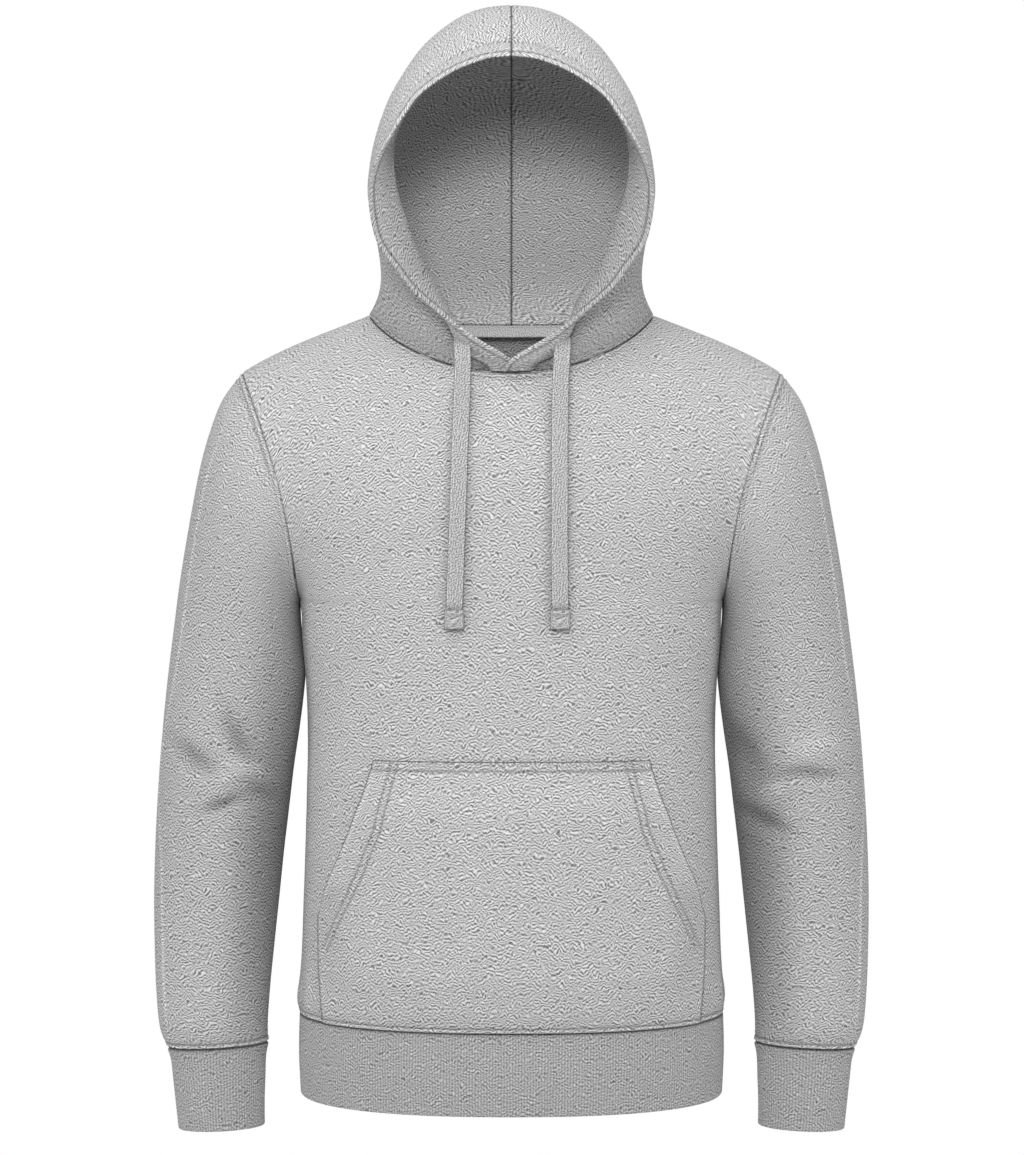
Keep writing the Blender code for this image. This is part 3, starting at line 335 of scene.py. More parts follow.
# Half width of the pocket, from the waist seam up.
POCKET = table(
    "height  width",
    (-0.6096, 0.1600),
    (-0.5640, 0.1640),
    (-0.5193, 0.1648),
    (-0.4875, 0.1490),
    (-0.4654, 0.1398),
    (-0.4419, 0.1309),
    (-0.4180, 0.1232),
    (-0.3930, 0.1180),
    (-0.3837, 0.1160),
)

# Outer row of sewing of the hem along each slanted opening of the pocket.
POCKET_HEM = table(
    "height  x",
    (-0.5478, 0.1599),
    (-0.5221, 0.1466),
    (-0.5121, 0.1416),
    (-0.4972, 0.1333),
    (-0.4756, 0.1234),
    (-0.4606, 0.1184),
    (-0.4424, 0.1109),
    (-0.4017, 0.1034),
    (-0.3837, 0.0998),
)

# Drawcords hang from under the hood's edge down over the chest: points down the middle of each.
CORD_ROUTES = {
    "left": (
        (0.0434, -0.0990, -0.0285),
        (0.0430, -0.1065, -0.0345),
        (0.0422, -0.1104, -0.0480),
        (0.0413, -0.1110, -0.0650),
        (0.0405, -0.1140, -0.1000),
        (0.0402, -0.1234, -0.1500),
        (0.0401, -0.1266, -0.2050),
        (0.0405, -0.1272, -0.2570),
    ),
    "right": (
        (-0.0419, -0.0990, -0.0285),
        (-0.0415, -0.1065, -0.0345),
        (-0.0409, -0.1104, -0.0480),
        (-0.0411, -0.1110, -0.0650),
        (-0.0424, -0.1140, -0.1000),
        (-0.0440, -0.1234, -0.1500),
        (-0.0458, -0.1266, -0.2050),
        (-0.0477, -0.1272, -0.2570),
    ),
}


# ---- curves and grids

def through(at, knots, values):
    """Smooth curve through the knots: a cubic between each two, with the slopes of its neighbours."""
    at = np.asarray(at, float)
    slopes = np.gradient(values, knots)
    left = np.clip(np.searchsorted(knots, at, side="right") - 1, 0, len(knots) - 2)
    step = knots[left + 1] - knots[left]
    t = np.clip((at - knots[left]) / step, 0.0, 1.0)
    ends = (1 + 2 * t) * (1 - t) ** 2 * values[left] + t ** 2 * (3 - 2 * t) * values[left + 1]
    return ends + step * t * (1 - t) * ((1 - t) * slopes[left] - t * slopes[left + 1])


def soft_step(t):
    """0 below 0, 1 above 1, smooth between."""
    t = np.clip(t, 0.0, 1.0)
    return t * t * (3 - 2 * t)


def hump(t):
    """1 at 0, falling away smoothly on both sides, nearly 0 beyond 2."""
    return np.exp(-t ** 2)


def unit(vectors):
    """The vectors at length one."""
    return vectors / np.maximum(np.linalg.norm(vectors, axis=-1, keepdims=True), 1e-12)


def rounded(value, power):
    """A sine or cosine raised to a power, its sign kept, which makes an oval squarish."""
    return np.sign(value) * np.abs(value) ** power


def lean(way, target, distance, reach):
    """Directions turned to others near a seam: wholly on the seam, not at all beyond the reach."""
    near = soft_step(1 - distance / reach)[..., None]
    return unit(way * (1 - near) + target * near)


def run_along(points):
    """Distance from the first of a row of points to each of them, from one to the next."""
    return np.concatenate([[0.0], np.cumsum(np.linalg.norm(np.diff(points, axis=0), axis=-1))])


def looped(line):
    """A closed row of points with its first one again at the end."""
    return np.concatenate([line, line[:1]])


def grid_normals(points, closed, outward):
    """Unit normals of a grid of rows and columns, outward being the sign of columns x rows."""
    if closed:
        wide = np.concatenate([points[:, -1:], points, points[:, :1]], axis=1)
        across = wide[:, 2:] - wide[:, :-2]
    else:
        across = np.gradient(points, axis=1)
    return unit(outward * np.cross(across, np.gradient(points, axis=0)))


def spaced(length, step, first=SEAM_STEPS, last=SEAM_STEPS):
    """Places from 0 to 1 along a length: close together beside a seam, and even between."""
    first, last = np.asarray(first), np.asarray(last)
    count = max(2, round((length - first[-1] - last[-1]) / step))
    middle = np.linspace(first[-1], length - last[-1], count + 1)
    return np.concatenate([first, middle[1:-1], length - last[::-1]]) / length


def valleys(folds, x, z):
    """Depth of the soft troughs of a table: each is a valley with smooth sides and ends round its
    middle at x and z, turned by its slant."""
    depth = 0.0
    for row in range(len(folds["depth"])):
        slant = folds["slant"][row]
        beside, beyond = x - folds["x"][row], z - folds["z"][row]
        down_fold = beside * math.cos(slant) + beyond * math.sin(slant)
        off_fold = beyond * math.cos(slant) - beside * math.sin(slant)
        depth = depth + folds["depth"][row] * hump(off_fold / folds["width"][row]) * hump(
            down_fold / folds["length"][row])
    return depth


def tuck(distance, depth, reach):
    """Height of a soft valley that starts at a seam, is deepest at its reach and rises again."""
    return -depth * distance / reach * np.exp(1 - distance / reach)


def distances(points, axis):
    """Distance of each point from the first and the last row (axis 0) or column (axis 1)."""
    steps = np.linalg.norm(np.diff(points, axis=axis), axis=-1)
    start = np.zeros_like(np.take(steps, [0], axis=axis))
    covered = np.concatenate([start, np.cumsum(steps, axis=axis)], axis=axis)
    return covered, np.take(covered, [-1], axis=axis) - covered


def seam_dip(distance):
    """The cloth rolls down into a seam."""
    return -SEAM_DEPTH * hump(distance / SEAM_WIDTH)


def topstitch_dip(distance, along, depth=0.00045):
    """A row of sewing presses in beside the seam, and the cloth between puckers a little."""
    groove = -depth * hump((distance - SEWN) / 0.0012)
    roll = 0.0003 * hump((distance - SEWN / 2) / 0.0018)
    puckers = 0.00022 * np.sin(along * 2 * math.pi / 0.0085 + 1.7 * np.sin(along / 0.013))
    return groove + roll + puckers * hump((distance - SEWN / 2) / 0.0035)


# ---- meshes

def grid_corners(rows, columns, closed):
    """Row and column of the four corners of each of a grid's faces."""
    across = columns if closed else columns - 1
    row, column = np.meshgrid(np.arange(rows - 1), np.arange(across), indexing="ij")
    corner_rows = np.stack([row, row, row + 1, row + 1], axis=-1).reshape(-1, 4)
    corner_columns = np.stack([column, column + 1, column + 1, column], axis=-1).reshape(-1, 4)
    return corner_rows, corner_columns


def make_mesh(name, vertices, faces, material, uv=None, shade=1.0):
    """Mesh object at the origin.  uv holds a pair of numbers for each corner of each face, and
    shade a number for each vertex that its colour is multiplied with: painted shade and painted light."""
    mesh = bpy.data.meshes.new(name)
    mesh.from_pydata(vertices.tolist(), [], faces.tolist())
    if uv is not None:
        layer = mesh.uv_layers.new(name="cloth")
        layer.data.foreach_set("uv", uv.reshape(-1).astype(np.float32))
    shades = np.ones(len(vertices), np.float32) * shade
    attribute = mesh.attributes.new("shade", "FLOAT", "POINT")
    attribute.data.foreach_set("value", shades.astype(np.float32))
    mesh.materials.append(material)
    mesh.shade_smooth()
    piece = bpy.data.objects.new(name, mesh)
    bpy.context.scene.collection.objects.link(piece)
    return piece


def signed_volume(vertices, faces):
    """Volume that quads enclose, negative if they face inwards."""
    a, b, c, d = (vertices[faces[:, k]] for k in range(4))
    return ((a * np.cross(b, c)).sum() + (a * np.cross(c, d)).sum()) / 6


def dark_line(distance, width, strength):
    """Painted shade along a line, or a painted highlight where the strength is less than nothing."""
    return 1 - strength * hump(distance / width)


def waist_lines(distance):
    """Painted shade and light beside a rib seam: shade in the seam, a painted highlight on the roll beside
    it, shade in the groove of the sewing.
    """
    return (dark_line(distance, 0.0011, 0.70) * dark_line(distance - 0.0026, 0.0012, -0.30)
            * dark_line(distance - SEWN, 0.0010, 0.50))


def wall(name, outer, inner, material, closed, across, along, start=0.0, shade=1.0, shade_in=1.0):
    """Wall between an outer and an inner grid of the same size, joined by rims.  across and along
    are the cloth's own measures at each point, in metres, with one column more on a closed grid.
    start moves the finish along the cloth, so that no two pieces are cut from the same place.
    shade and shade_in are painted shade and painted light on the outer and the inner surface, line by line."""
    rows, columns = outer.shape[:2]
    row, column = grid_corners(rows, columns, closed)
    measures = np.stack([across + start, along + start], axis=-1)
    faces = row * columns + column % columns
    uv = measures[row, column]
    offset = rows * columns
    if closed:
        ring = np.arange(columns)
        after = np.roll(ring, -1)
        low = np.stack([after, ring, ring + offset, after + offset], axis=-1)
        top = low[:, ::-1] + (rows - 1) * columns
        rim = np.concatenate([low, top])
        rim_rows = np.concatenate([np.zeros_like(low), np.full_like(low, rows - 1)])
        here = np.stack([ring + 1, ring, ring, ring + 1], axis=-1)
        rim_columns = np.concatenate([here, here[:, ::-1]])
    else:
        border = np.concatenate([np.arange(columns), np.arange(2 * columns - 1, offset, columns),
                                 np.arange(offset - 2, offset - columns - 1, -1),
                                 np.arange(offset - 2 * columns, 0, -columns)])
        after = np.roll(border, -1)
        rim = np.stack([after, border, border + offset, after + offset], axis=-1)
        flat = rim % offset
        rim_rows, rim_columns = flat // columns, flat % columns
    every = np.concatenate([faces, faces[:, ::-1] + offset, rim])
    every_uv = np.concatenate([uv, uv[:, ::-1], measures[rim_rows, rim_columns]])
    vertices = np.concatenate([outer.reshape(-1, 3), inner.reshape(-1, 3)])
    if signed_volume(vertices, every) < 0:
        every, every_uv = every[:, ::-1], every_uv[:, ::-1]
    shades = [np.broadcast_to(value, (rows, columns)).reshape(-1) for value in (shade, shade_in)]
    return make_mesh(name, vertices, every, material, every_uv, np.concatenate(shades))


STITCH_SIDES = 4


def stitches(name, paths, material, length=0.0028, pitch=0.0038, width=0.0008, height=0.0004):
    """Rows of machine stitches as one mesh: along each path of points and normals a short thread
    rises out of the cloth, arches and goes in again, with a gap before the next."""
    share = np.array([0.0, 0.12, 0.5, 0.88, 1.0])
    rise = np.array([-0.6, 0.55, 1.0, 0.55, -0.6]) * height
    girth = np.array([0.35, 0.9, 1.0, 0.9, 0.35]) * width / 2
    turn = np.arange(STITCH_SIDES) * 2 * math.pi / STITCH_SIDES
    row, column = grid_corners(len(share), STITCH_SIDES, True)
    ends = np.arange(STITCH_SIDES)
    one = np.concatenate([row * STITCH_SIDES + column % STITCH_SIDES,
                          [ends[::-1], ends + (len(share) - 1) * STITCH_SIDES]])
    vertices = []
    for points, normals in paths:
        covered = run_along(points)
        middles = np.arange(pitch / 2, covered[-1] - length / 2, pitch)
        at = middles[:, None] + (share - 0.5)[None, :] * length
        place = np.stack([np.interp(at, covered, points[:, k]) for k in range(3)], axis=-1)
        facing = unit(np.stack([np.interp(at, covered, normals[:, k]) for k in range(3)], axis=-1))
        sideways = unit(np.cross(facing, unit(place[:, -1:] - place[:, :1])))
        centre = place + facing * rise[None, :, None]
        ring = (sideways[:, :, None] * np.cos(turn)[None, None, :, None]
                + facing[:, :, None] * np.sin(turn)[None, None, :, None] * 0.75)
        vertices.append((centre[:, :, None] + ring * girth[None, :, None, None]).reshape(-1, 3))
    vertices = np.concatenate(vertices)
    each = len(share) * STITCH_SIDES
    start = np.arange(len(vertices) // each) * each
    faces = (start[:, None, None] + one[None]).reshape(-1, 4)
    if signed_volume(vertices, faces) < 0:
        faces = faces[:, ::-1]
    return make_mesh(name, vertices, faces, material)


# ---- finishes

class Number:
    """A socket that carries a number.  + - and * with it add Math nodes, whichever side of them it
    is on, so that 1 - mask works."""

    def __init__(self, finish, socket):
        self.finish, self.socket = finish, socket

    def math(self, operation, first, second):
        return Number(self.finish, self.finish.node("Math", {"operation": operation}, {0: first, 1: second}))

    def __add__(self, other):
        return self.math("ADD", self, other)

    def __radd__(self, other):
        return self.math("ADD", other, self)

    def __sub__(self, other):
        return self.math("SUBTRACT", self, other)

    def __rsub__(self, other):
        return self.math("SUBTRACT", other, self)

    def __mul__(self, other):
        return self.math("MULTIPLY", self, other)

    def __rmul__(self, other):
        return self.math("MULTIPLY", other, self)

    def between(self, low, high):
        """The number, kept from the low one to the high one."""
        below = self.math("MINIMUM", self, high)
        return below.math("MAXIMUM", below, low)


class Finish:
    """A material and its nodes."""

    def __init__(self, name):
        self.material = bpy.data.materials.new(name)
        self.material.use_nodes = True
        self.tree = self.material.node_tree
        self.shader = self.tree.nodes["Principled BSDF"]

    def feed(self, socket, value):
        """Links a socket to another, or sets it."""
        if isinstance(value, Number):
            value = value.socket
        if isinstance(value, bpy.types.NodeSocket):
            self.tree.links.new(value, socket)
        else:
            socket.default_value = value

    def node(self, kind, settings=None, sockets=None, output=0):
        """Adds a node: its type, its settings, then the values or links of its sockets."""
        node = self.tree.nodes.new("ShaderNode" + kind)
        for name, value in (settings or {}).items():
            setattr(node, name, value)
        for name, value in (sockets or {}).items():
            self.feed(node.inputs[name], value)
        return node.outputs[output]

    def cloth_place(self):
        """Place on the cloth's own measures, in millimetres."""
        measures = self.node("UVMap", {"uv_map": "cloth"})
        return self.node("Mapping", {}, {"Vector": measures, "Scale": (1000, 1000, 1)})

    def noise(self, place, scale, detail, roughness=0.5, output=0):
        """Flat noise over a place: a number, or its colour as output 1."""
        return Number(self, self.node(
            "TexNoise", {"noise_dimensions": "2D"},
            {"Vector": place, "Scale": scale, "Detail": detail, "Roughness": roughness}, output))

    def strokes(self, place, scale, frequency, anisotropy, turn):
        """Short strokes side by side, in patches that run one into another."""
        return Number(self, self.node(
            "TexGabor", {"gabor_type": "2D"},
            {"Vector": place, "Scale": scale, "Frequency": frequency, "Anisotropy": anisotropy,
             "Orientation": turn}))

    def grey(self, tone, dark, light):
        """Grey between a dark one and a light one."""
        return self.node("Mix", {"data_type": "RGBA"},
                         {0: tone, 6: (dark, dark, dark, 1.0), 7: (light, light, light, 1.0)}, 2)

    def vector(self, operation, first, second):
        """Adds a node that works on two vectors."""
        return self.node("VectorMath", {"operation": operation}, {0: first, 1: second})

    def shaded(self, colour):
        """The colour, times the piece's painted shade and painted light."""
        shade = self.node("Attribute", {"attribute_name": "shade"}, {}, 2)
        return self.node("VectorMath", {"operation": "SCALE"}, {0: colour, 3: shade})

    def set(self, **sockets):
        """Feeds the shader's sockets, named with _ for a space."""
        for name, value in sockets.items():
            self.feed(self.shader.inputs[name.replace("_", " ")], value)


def marl_finish(name, dark, light, contrast=2.4):
    """Grey marl jersey: short curly strokes of lighter and darker yarn that lie across the cloth,
    bent by a slow drift, over a fine grain, on the cloth's own measures in millimetres.  The
    piece's painted shade and light darken it in seams and folds and lighten it on rolls."""
    finish = Finish(name)
    place = finish.cloth_place()
    drift = finish.noise(place, scale=0.13, detail=1.5, output=1)
    centred = finish.vector("SUBTRACT", drift, (0.5, 0.5, 0.5))
    bent = finish.vector("ADD", place, finish.vector("MULTIPLY", centred, (5.0, 5.5, 0.0)))
    yarn = finish.strokes(bent, scale=1 / 6, frequency=2.2, anisotropy=0.42, turn=math.pi / 2)
    grain = finish.noise(place, scale=1.2, detail=2.0, roughness=0.65)
    patches = finish.noise(place, scale=0.06, detail=1.0)
    yarn = ((yarn - 0.5) * contrast * 1.15).between(-0.46, 0.40)
    tone = (yarn * (0.75 + 0.5 * patches) + 1.2 * (grain - 0.5) + 0.5).between(0.0, 1.0)
    bump = finish.node("Bump", {}, {"Strength": 0.05, "Distance": 0.0006, "Height": tone})
    finish.set(Base_Color=finish.shaded(finish.grey(tone, dark, light)), Roughness=0.92, Normal=bump,
               Sheen_Weight=0.08, Sheen_Roughness=0.5, Specular_IOR_Level=0.15)
    return finish.material


def tape_finish(name, dark, light):
    """Woven cotton tape: fine slanting ribs one way and thread across them the other way."""
    finish = Finish(name)
    place = finish.cloth_place()
    twill = finish.strokes(place, scale=1 / 4, frequency=1.9, anisotropy=0.7, turn=1.0)
    threads = finish.strokes(place, scale=1 / 5, frequency=2.2, anisotropy=0.9, turn=0.1)
    grain = finish.noise(place, scale=0.8, detail=2.0, roughness=0.7)
    tone = (2.2 * (twill - 0.5) + 2.0 * (threads - 0.5) + 4.0 * (grain - 0.5) + 0.5).between(0.0, 1.0)
    bump = finish.node("Bump", {}, {"Strength": 0.45, "Distance": 0.0004, "Height": tone})
    finish.set(Base_Color=finish.shaded(finish.grey(tone, dark, light)), Roughness=0.85, Normal=bump,
               Specular_IOR_Level=0.2)
    return finish.material


def thread_finish(name, dark, light):
    """Sewing thread: a little glossy, uneven from stitch to stitch."""
    finish = Finish(name)
    place = finish.node("TexCoord", {}, {}, 3)
    uneven = finish.node("TexNoise", {}, {"Vector": place, "Scale": 500.0, "Detail": 1.0})
    finish.set(Base_Color=finish.grey(uneven, dark, light), Roughness=0.6, Specular_IOR_Level=0.3)
    return finish.material


FLEECE_FINISH = marl_finish("grey_marl_fleece_finish", 0.13, 0.76)
RIB_FINISH = marl_finish("grey_marl_rib_finish", 0.13, 0.63, contrast=1.6)
TAPE_FINISH = tape_finish("grey_cord_tape_finish", 0.20, 0.60)
# The neck tape is lighter than the cloth: painted light, since the tape faces down into shade.
NECK_TAPE_PAINTED_LIGHT_FINISH = tape_finish("neck_tape_painted_light_finish", 0.50, 0.86)
THREAD_FINISH = thread_finish("sewing_thread_finish", 0.26, 0.46)
PALE_THREAD_FINISH = thread_finish("pale_thread_finish", 0.70, 0.92)


# ---- camera, light and floor

def set_camera():
    """Camera at chest height, looking straight at the front."""
    lens = bpy.data.cameras.new("camera")
    lens.sensor_fit = "VERTICAL"
    lens.sensor_height = SENSOR
    lens.lens = SENSOR * FOCAL_PIXELS / FRAME_HEIGHT
    camera = bpy.data.objects.new("camera", lens)
    camera.location = CAMERA_PLACE
    camera.rotation_euler = (math.pi / 2, 0.0, 0.0)
    bpy.context.scene.collection.objects.link(camera)
    bpy.context.scene.camera = camera


def set_surroundings():
    """White behind everything, and a dimmer white that lights the cloth from all round."""
    world = bpy.data.worlds.new("studio")
    world.use_nodes = True
    tree = world.node_tree
    backdrop = tree.nodes["Background"]
    backdrop.inputs["Color"].default_value = (1.0, 1.0, 1.0, 1.0)
    lit = tree.nodes.new("ShaderNodeBackground")
    lit.inputs["Strength"].default_value = ROOM_LIGHT
    seen = tree.nodes.new("ShaderNodeLightPath")
    choice = tree.nodes.new("ShaderNodeMixShader")
    tree.links.new(seen.outputs["Is Camera Ray"], choice.inputs[0])
    tree.links.new(lit.outputs[0], choice.inputs[1])
    tree.links.new(backdrop.outputs[0], choice.inputs[2])
    tree.links.new(choice.outputs[0], tree.nodes["World Output"].inputs["Surface"])
    bpy.context.scene.world = world
    bpy.context.scene.view_settings.view_transform = "Standard"


def set_lights():
    """Soft square lights, each turned to the lit point."""
    for name, place, size, power in LIGHTS:
        light = bpy.data.lights.new(name, "AREA")
        light.size = size
        light.energy = power
        lamp = bpy.data.objects.new(name, light)
        lamp.location = place
        way = np.array(LIT_POINT) - np.array(place)
        flat = math.hypot(way[0], way[1])
        lamp.rotation_euler = (math.pi / 2 + math.atan2(way[2], flat), 0.0, math.atan2(-way[0], way[1]))
        bpy.context.scene.collection.objects.link(lamp)


def lay_floor():
    """Pale floor, well below the hem."""
    corners = np.array([(-1, -1), (1, -1), (1, 1), (-1, 1)]) * FLOOR_SIZE / 2
    plain = Finish("pale_floor_finish")
    plain.set(Base_Color=(0.85, 0.85, 0.85, 1.0), Roughness=0.8)
    floor = make_mesh("floor", np.column_stack([corners, np.full(4, FLOOR_Z)]),
                      np.array([[0, 1, 2, 3]]), plain.material)


set_camera()
set_surroundings()
set_lights()
lay_floor()


# ---- drawcords

def cord_path(side):
    """Points down the middle of a drawcord, every 7 mm or less."""
    route = np.array(CORD_ROUTES[side])
    knots = np.arange(len(route), dtype=float)
    place = np.linspace(0, knots[-1], 61)
    return np.stack([through(place, knots, route[:, axis]) for axis in range(3)], axis=-1)


def flat_section(width, thickness, count, roundness):
    """Closed outline of a flat cord: a superellipse across x and y."""
    angle = np.arange(count) * 2 * math.pi / count
    cos, sin = np.cos(angle), np.sin(angle)
    power = 2 / roundness
    return np.stack([rounded(cos, power) * width / 2, rounded(sin, power) * thickness / 2], axis=-1)


def capped_tube(name, rings, material, across, along, shade):
    """Closed tube through rings of points, each end drawn together to a point.  shade is the painted
    shade and painted light at each point of the rings."""
    first, last = rings[:1].mean(axis=1, keepdims=True), rings[-1:].mean(axis=1, keepdims=True)
    columns = rings.shape[1]
    whole = np.concatenate([np.broadcast_to(first, (1, columns, 3)), rings,
                            np.broadcast_to(last, (1, columns, 3))])
    rows = len(whole)
    row, column = grid_corners(rows, columns, True)
    faces = row * columns + column % columns
    along = np.concatenate([along[:1], along, along[-1:]])
    measures = np.stack(np.broadcast_arrays(across[None, :], along[:, None]), axis=-1)
    uv = measures[row, column]
    vertices = whole.reshape(-1, 3)
    if signed_volume(vertices, faces) < 0:
        faces, uv = faces[:, ::-1], uv[:, ::-1]
    shade = np.broadcast_to(shade, rings.shape[:2])
    shade = np.concatenate([shade[:1], shade, shade[-1:]]).reshape(-1)
    piece = make_mesh(name, vertices, faces, material, uv, shade)
    weld_ends(piece)
    return piece


def weld_ends(piece):
    """Merges the points that lie on each other, so that the ends are closed."""
    work = bmesh.new()
    work.from_mesh(piece.data)
    bmesh.ops.remove_doubles(work, verts=work.verts, dist=1e-6)
    work.to_mesh(piece.data)
    work.free()


def drawcord(side):
    """Flat woven drawcord: an outline with rounded edges, swept down its route."""
    path = cord_path(side)
    ahead = unit(np.gradient(path, axis=0))
    sideways = unit(np.cross(ahead, (0.0, -1.0, 0.0)))
    facing = unit(np.cross(sideways, ahead))
    outline = flat_section(CORD_WIDTH, CORD_THICKNESS, 40, 3.2)
    rings = path[:, None] + sideways[:, None] * outline[None, :, :1] + facing[:, None] * outline[None, :, 1:]
    down = run_along(path)
    aside = np.abs(outline[:, 0]) / CORD_WIDTH * 2
    # Painted shade along the cord's sides, and a painted highlight just inside them.
    shade = (1 - 0.62 * soft_step((aside - 0.93) / 0.06)) * dark_line(aside - 0.84, 0.07, -0.12)
    strap = capped_tube("cord_" + side, rings, TAPE_FINISH, run_along(looped(outline)), down, shade[None])
    return strap, path, down[-1]


def cord_end(side):
    """Folded end of a drawcord: a thicker rounded block with a sewn bar across its top."""
    x, y, z = CORD_ROUTES[side][-1]
    down = np.concatenate([[0.0, 0.0003, 0.0008], np.linspace(0.0016, TIP_LENGTH - 0.0016, 14),
                           TIP_LENGTH - np.array([0.0008, 0.0003, 0.0])])
    from_end = np.minimum(down, TIP_LENGTH - down)
    shrink = 1 - 0.10 * (1 - soft_step(from_end / 0.0016))
    thin = 1 - 0.45 * (1 - soft_step(from_end / 0.0020)) - 0.12 * hump((down - 0.0042) / 0.0007)
    outline = flat_section(1.0, 1.0, 48, 3.6)
    rings = np.stack([x + outline[None, :, 0] * TIP_WIDTH * shrink[:, None],
                      y + outline[None, :, 1] * TIP_THICKNESS * thin[:, None],
                      np.broadcast_to((z - down)[:, None], (len(down), len(outline)))], axis=-1)
    around = np.linspace(0.0, 2.2 * TIP_WIDTH, len(outline) + 1)
    bars = []
    for below in TIP_BARS:
        row = np.argmin(np.abs(down - below))
        front = rings[row][outline[:, 1] < 0]
        front = front[np.argsort(front[:, 0])][1:-1]
        bars.append((front, np.broadcast_to((0.0, -1.0, 0.0), front.shape)))
    bar = stitches("cord_sewing_" + side, bars, THREAD_FINISH, 0.0020, 0.0024, 0.0007, 0.0003)
    # Painted shade on the tip's sides and at its ends.
    side_shade = 1 - 0.6 * soft_step((np.abs(outline[:, 0]) * 2 - 0.93) / 0.06)
    shade = side_shade[None] * dark_line(from_end, 0.0006, 0.55)[:, None]
    return capped_tube("cord_end_" + side, rings, TAPE_FINISH, around, down, shade), bar


for side in ("left", "right"):
    strap, path, length = drawcord(side)
    end, bar = cord_end(side)
    for piece, node in ((strap, "drawcord_" + side), (end, "drawcord_tip_" + side), (bar, None)):
        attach(piece, "root")
        if node:
            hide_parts(node)


# ---- body

def armhole(angle):
    """Armhole on the +X side: angle 0 at the shoulder, a quarter turn at the front, half at the underarm."""
    cos, sin = np.cos(angle), np.sin(angle)
    depth = np.where(sin > 0, ARM_FRONT, ARM_BACK)
    x = ARM_MIDDLE_X + ARM_SPREAD_X * cos - ARM_SCOOP * sin ** 2
    z = (SHOULDER_Z + UNDERARM_Z) / 2 + (SHOULDER_Z - UNDERARM_Z) / 2 * cos
    return x, -sin * depth, z


def armhole_normal(angle):
    """Direction in which the cloth faces at the armhole seam, the same for body and sleeve."""
    cos, sin = np.cos(angle), np.sin(angle)
    return unit(np.stack([0.5 * (0.5 + 0.5 * cos) ** 2, -sin, 0.95 * cos], axis=-1))


def neck_seam(angle):
    """Neck seam: angle 0 at the +X neck point, a quarter turn back at the nape, forward at the throat."""
    cos, sin = np.cos(angle), np.sin(angle)
    front = sin < 0
    y = np.where(front, NECK_FRONT, NECK_BACK) * sin
    z = -np.where(front, NECK_FRONT_DROP, NECK_BACK_DROP) * np.abs(sin) ** NECK_DIP
    return NECK_HALF * cos, y, z


def neck_normal(angle):
    """Direction in which the cloth faces at the neck seam, the same for body and hood."""
    cos, sin = np.cos(angle), np.sin(angle)
    tilt = NECK_TILT + (NECK_SIDE_TILT - NECK_TILT) * cos ** 2
    return unit(np.stack([cos, sin * NECK_HALF / NECK_FRONT, tilt], axis=-1))


def shoulder_line(share):
    """Height of the shoulder seam at a share of its length from the neck point."""
    return SHOULDER_Z * ((1 - SHOULDER_END_DROP) * share + SHOULDER_END_DROP * share ** 4)


def ridge_height(x):
    """Height of the shoulder ridge at a distance x from the middle."""
    outside = np.clip((x - NECK_HALF) / (SHOULDER_X - NECK_HALF), 0.0, 1.2)
    return shoulder_line(outside) + RIDGE_RISE * np.clip(NECK_HALF - x, 0.0, None)


def body_depth(face, x, z):
    """How far the body stands forward (face -1) or back (face 1) at x and z: squarish oval
    sections, each as wide and deep as the body's table says, rounding over to the shoulder ridge."""
    width = through(z, BODY["height"], BODY["section"])
    width = np.where(z < SAME_WIDTH_Z, through(z, BODY["height"], BODY["width"]), width)
    deep = through(z, BODY["height"], BODY["front" if face < 0 else "back"])
    share = np.clip(np.abs(x) / width, 0.0, 1.0)
    section = deep * (1 - share ** BODY_SQUARENESS) ** (1 / BODY_SQUARENESS)
    roll = FRONT_ROLL if face < 0 else BACK_ROLL
    below = np.clip((ridge_height(np.abs(x)) - z) / roll, 0.0, 1.0)
    return face * section * np.sqrt(1 - (1 - below) ** 2)


def top_edge(face, across):
    """Upper edge of a panel: the neck seam out to its neck point, then the shoulder line."""
    angle = math.pi / 2 * (1 - np.clip(across / NECK_SHARE, 0.0, 1.0))
    x, y, z = neck_seam(face * angle)
    shoulder = np.clip((across - NECK_SHARE) / (1 - NECK_SHARE), 0.0, 1.0)
    return x + (SHOULDER_X - NECK_HALF) * shoulder, y, z + shoulder_line(shoulder)


def softened_top(face, across, rise):
    """Upper edge of a panel with its corner at the neck point rounded off below the seam: a weighted
    mean of five places on it, further apart the lower the row."""
    apart = 0.9 * (1 - rise) ** 0.5 * across * (1 - across)
    shares = (-1.0, -0.5, 0.0, 0.5, 1.0)
    weights = (1 / 9, 2 / 9, 3 / 9, 2 / 9, 1 / 9)
    edges = [np.stack(top_edge(face, across + share * apart)) * weight
             for share, weight in zip(shares, weights)]
    return sum(edges)


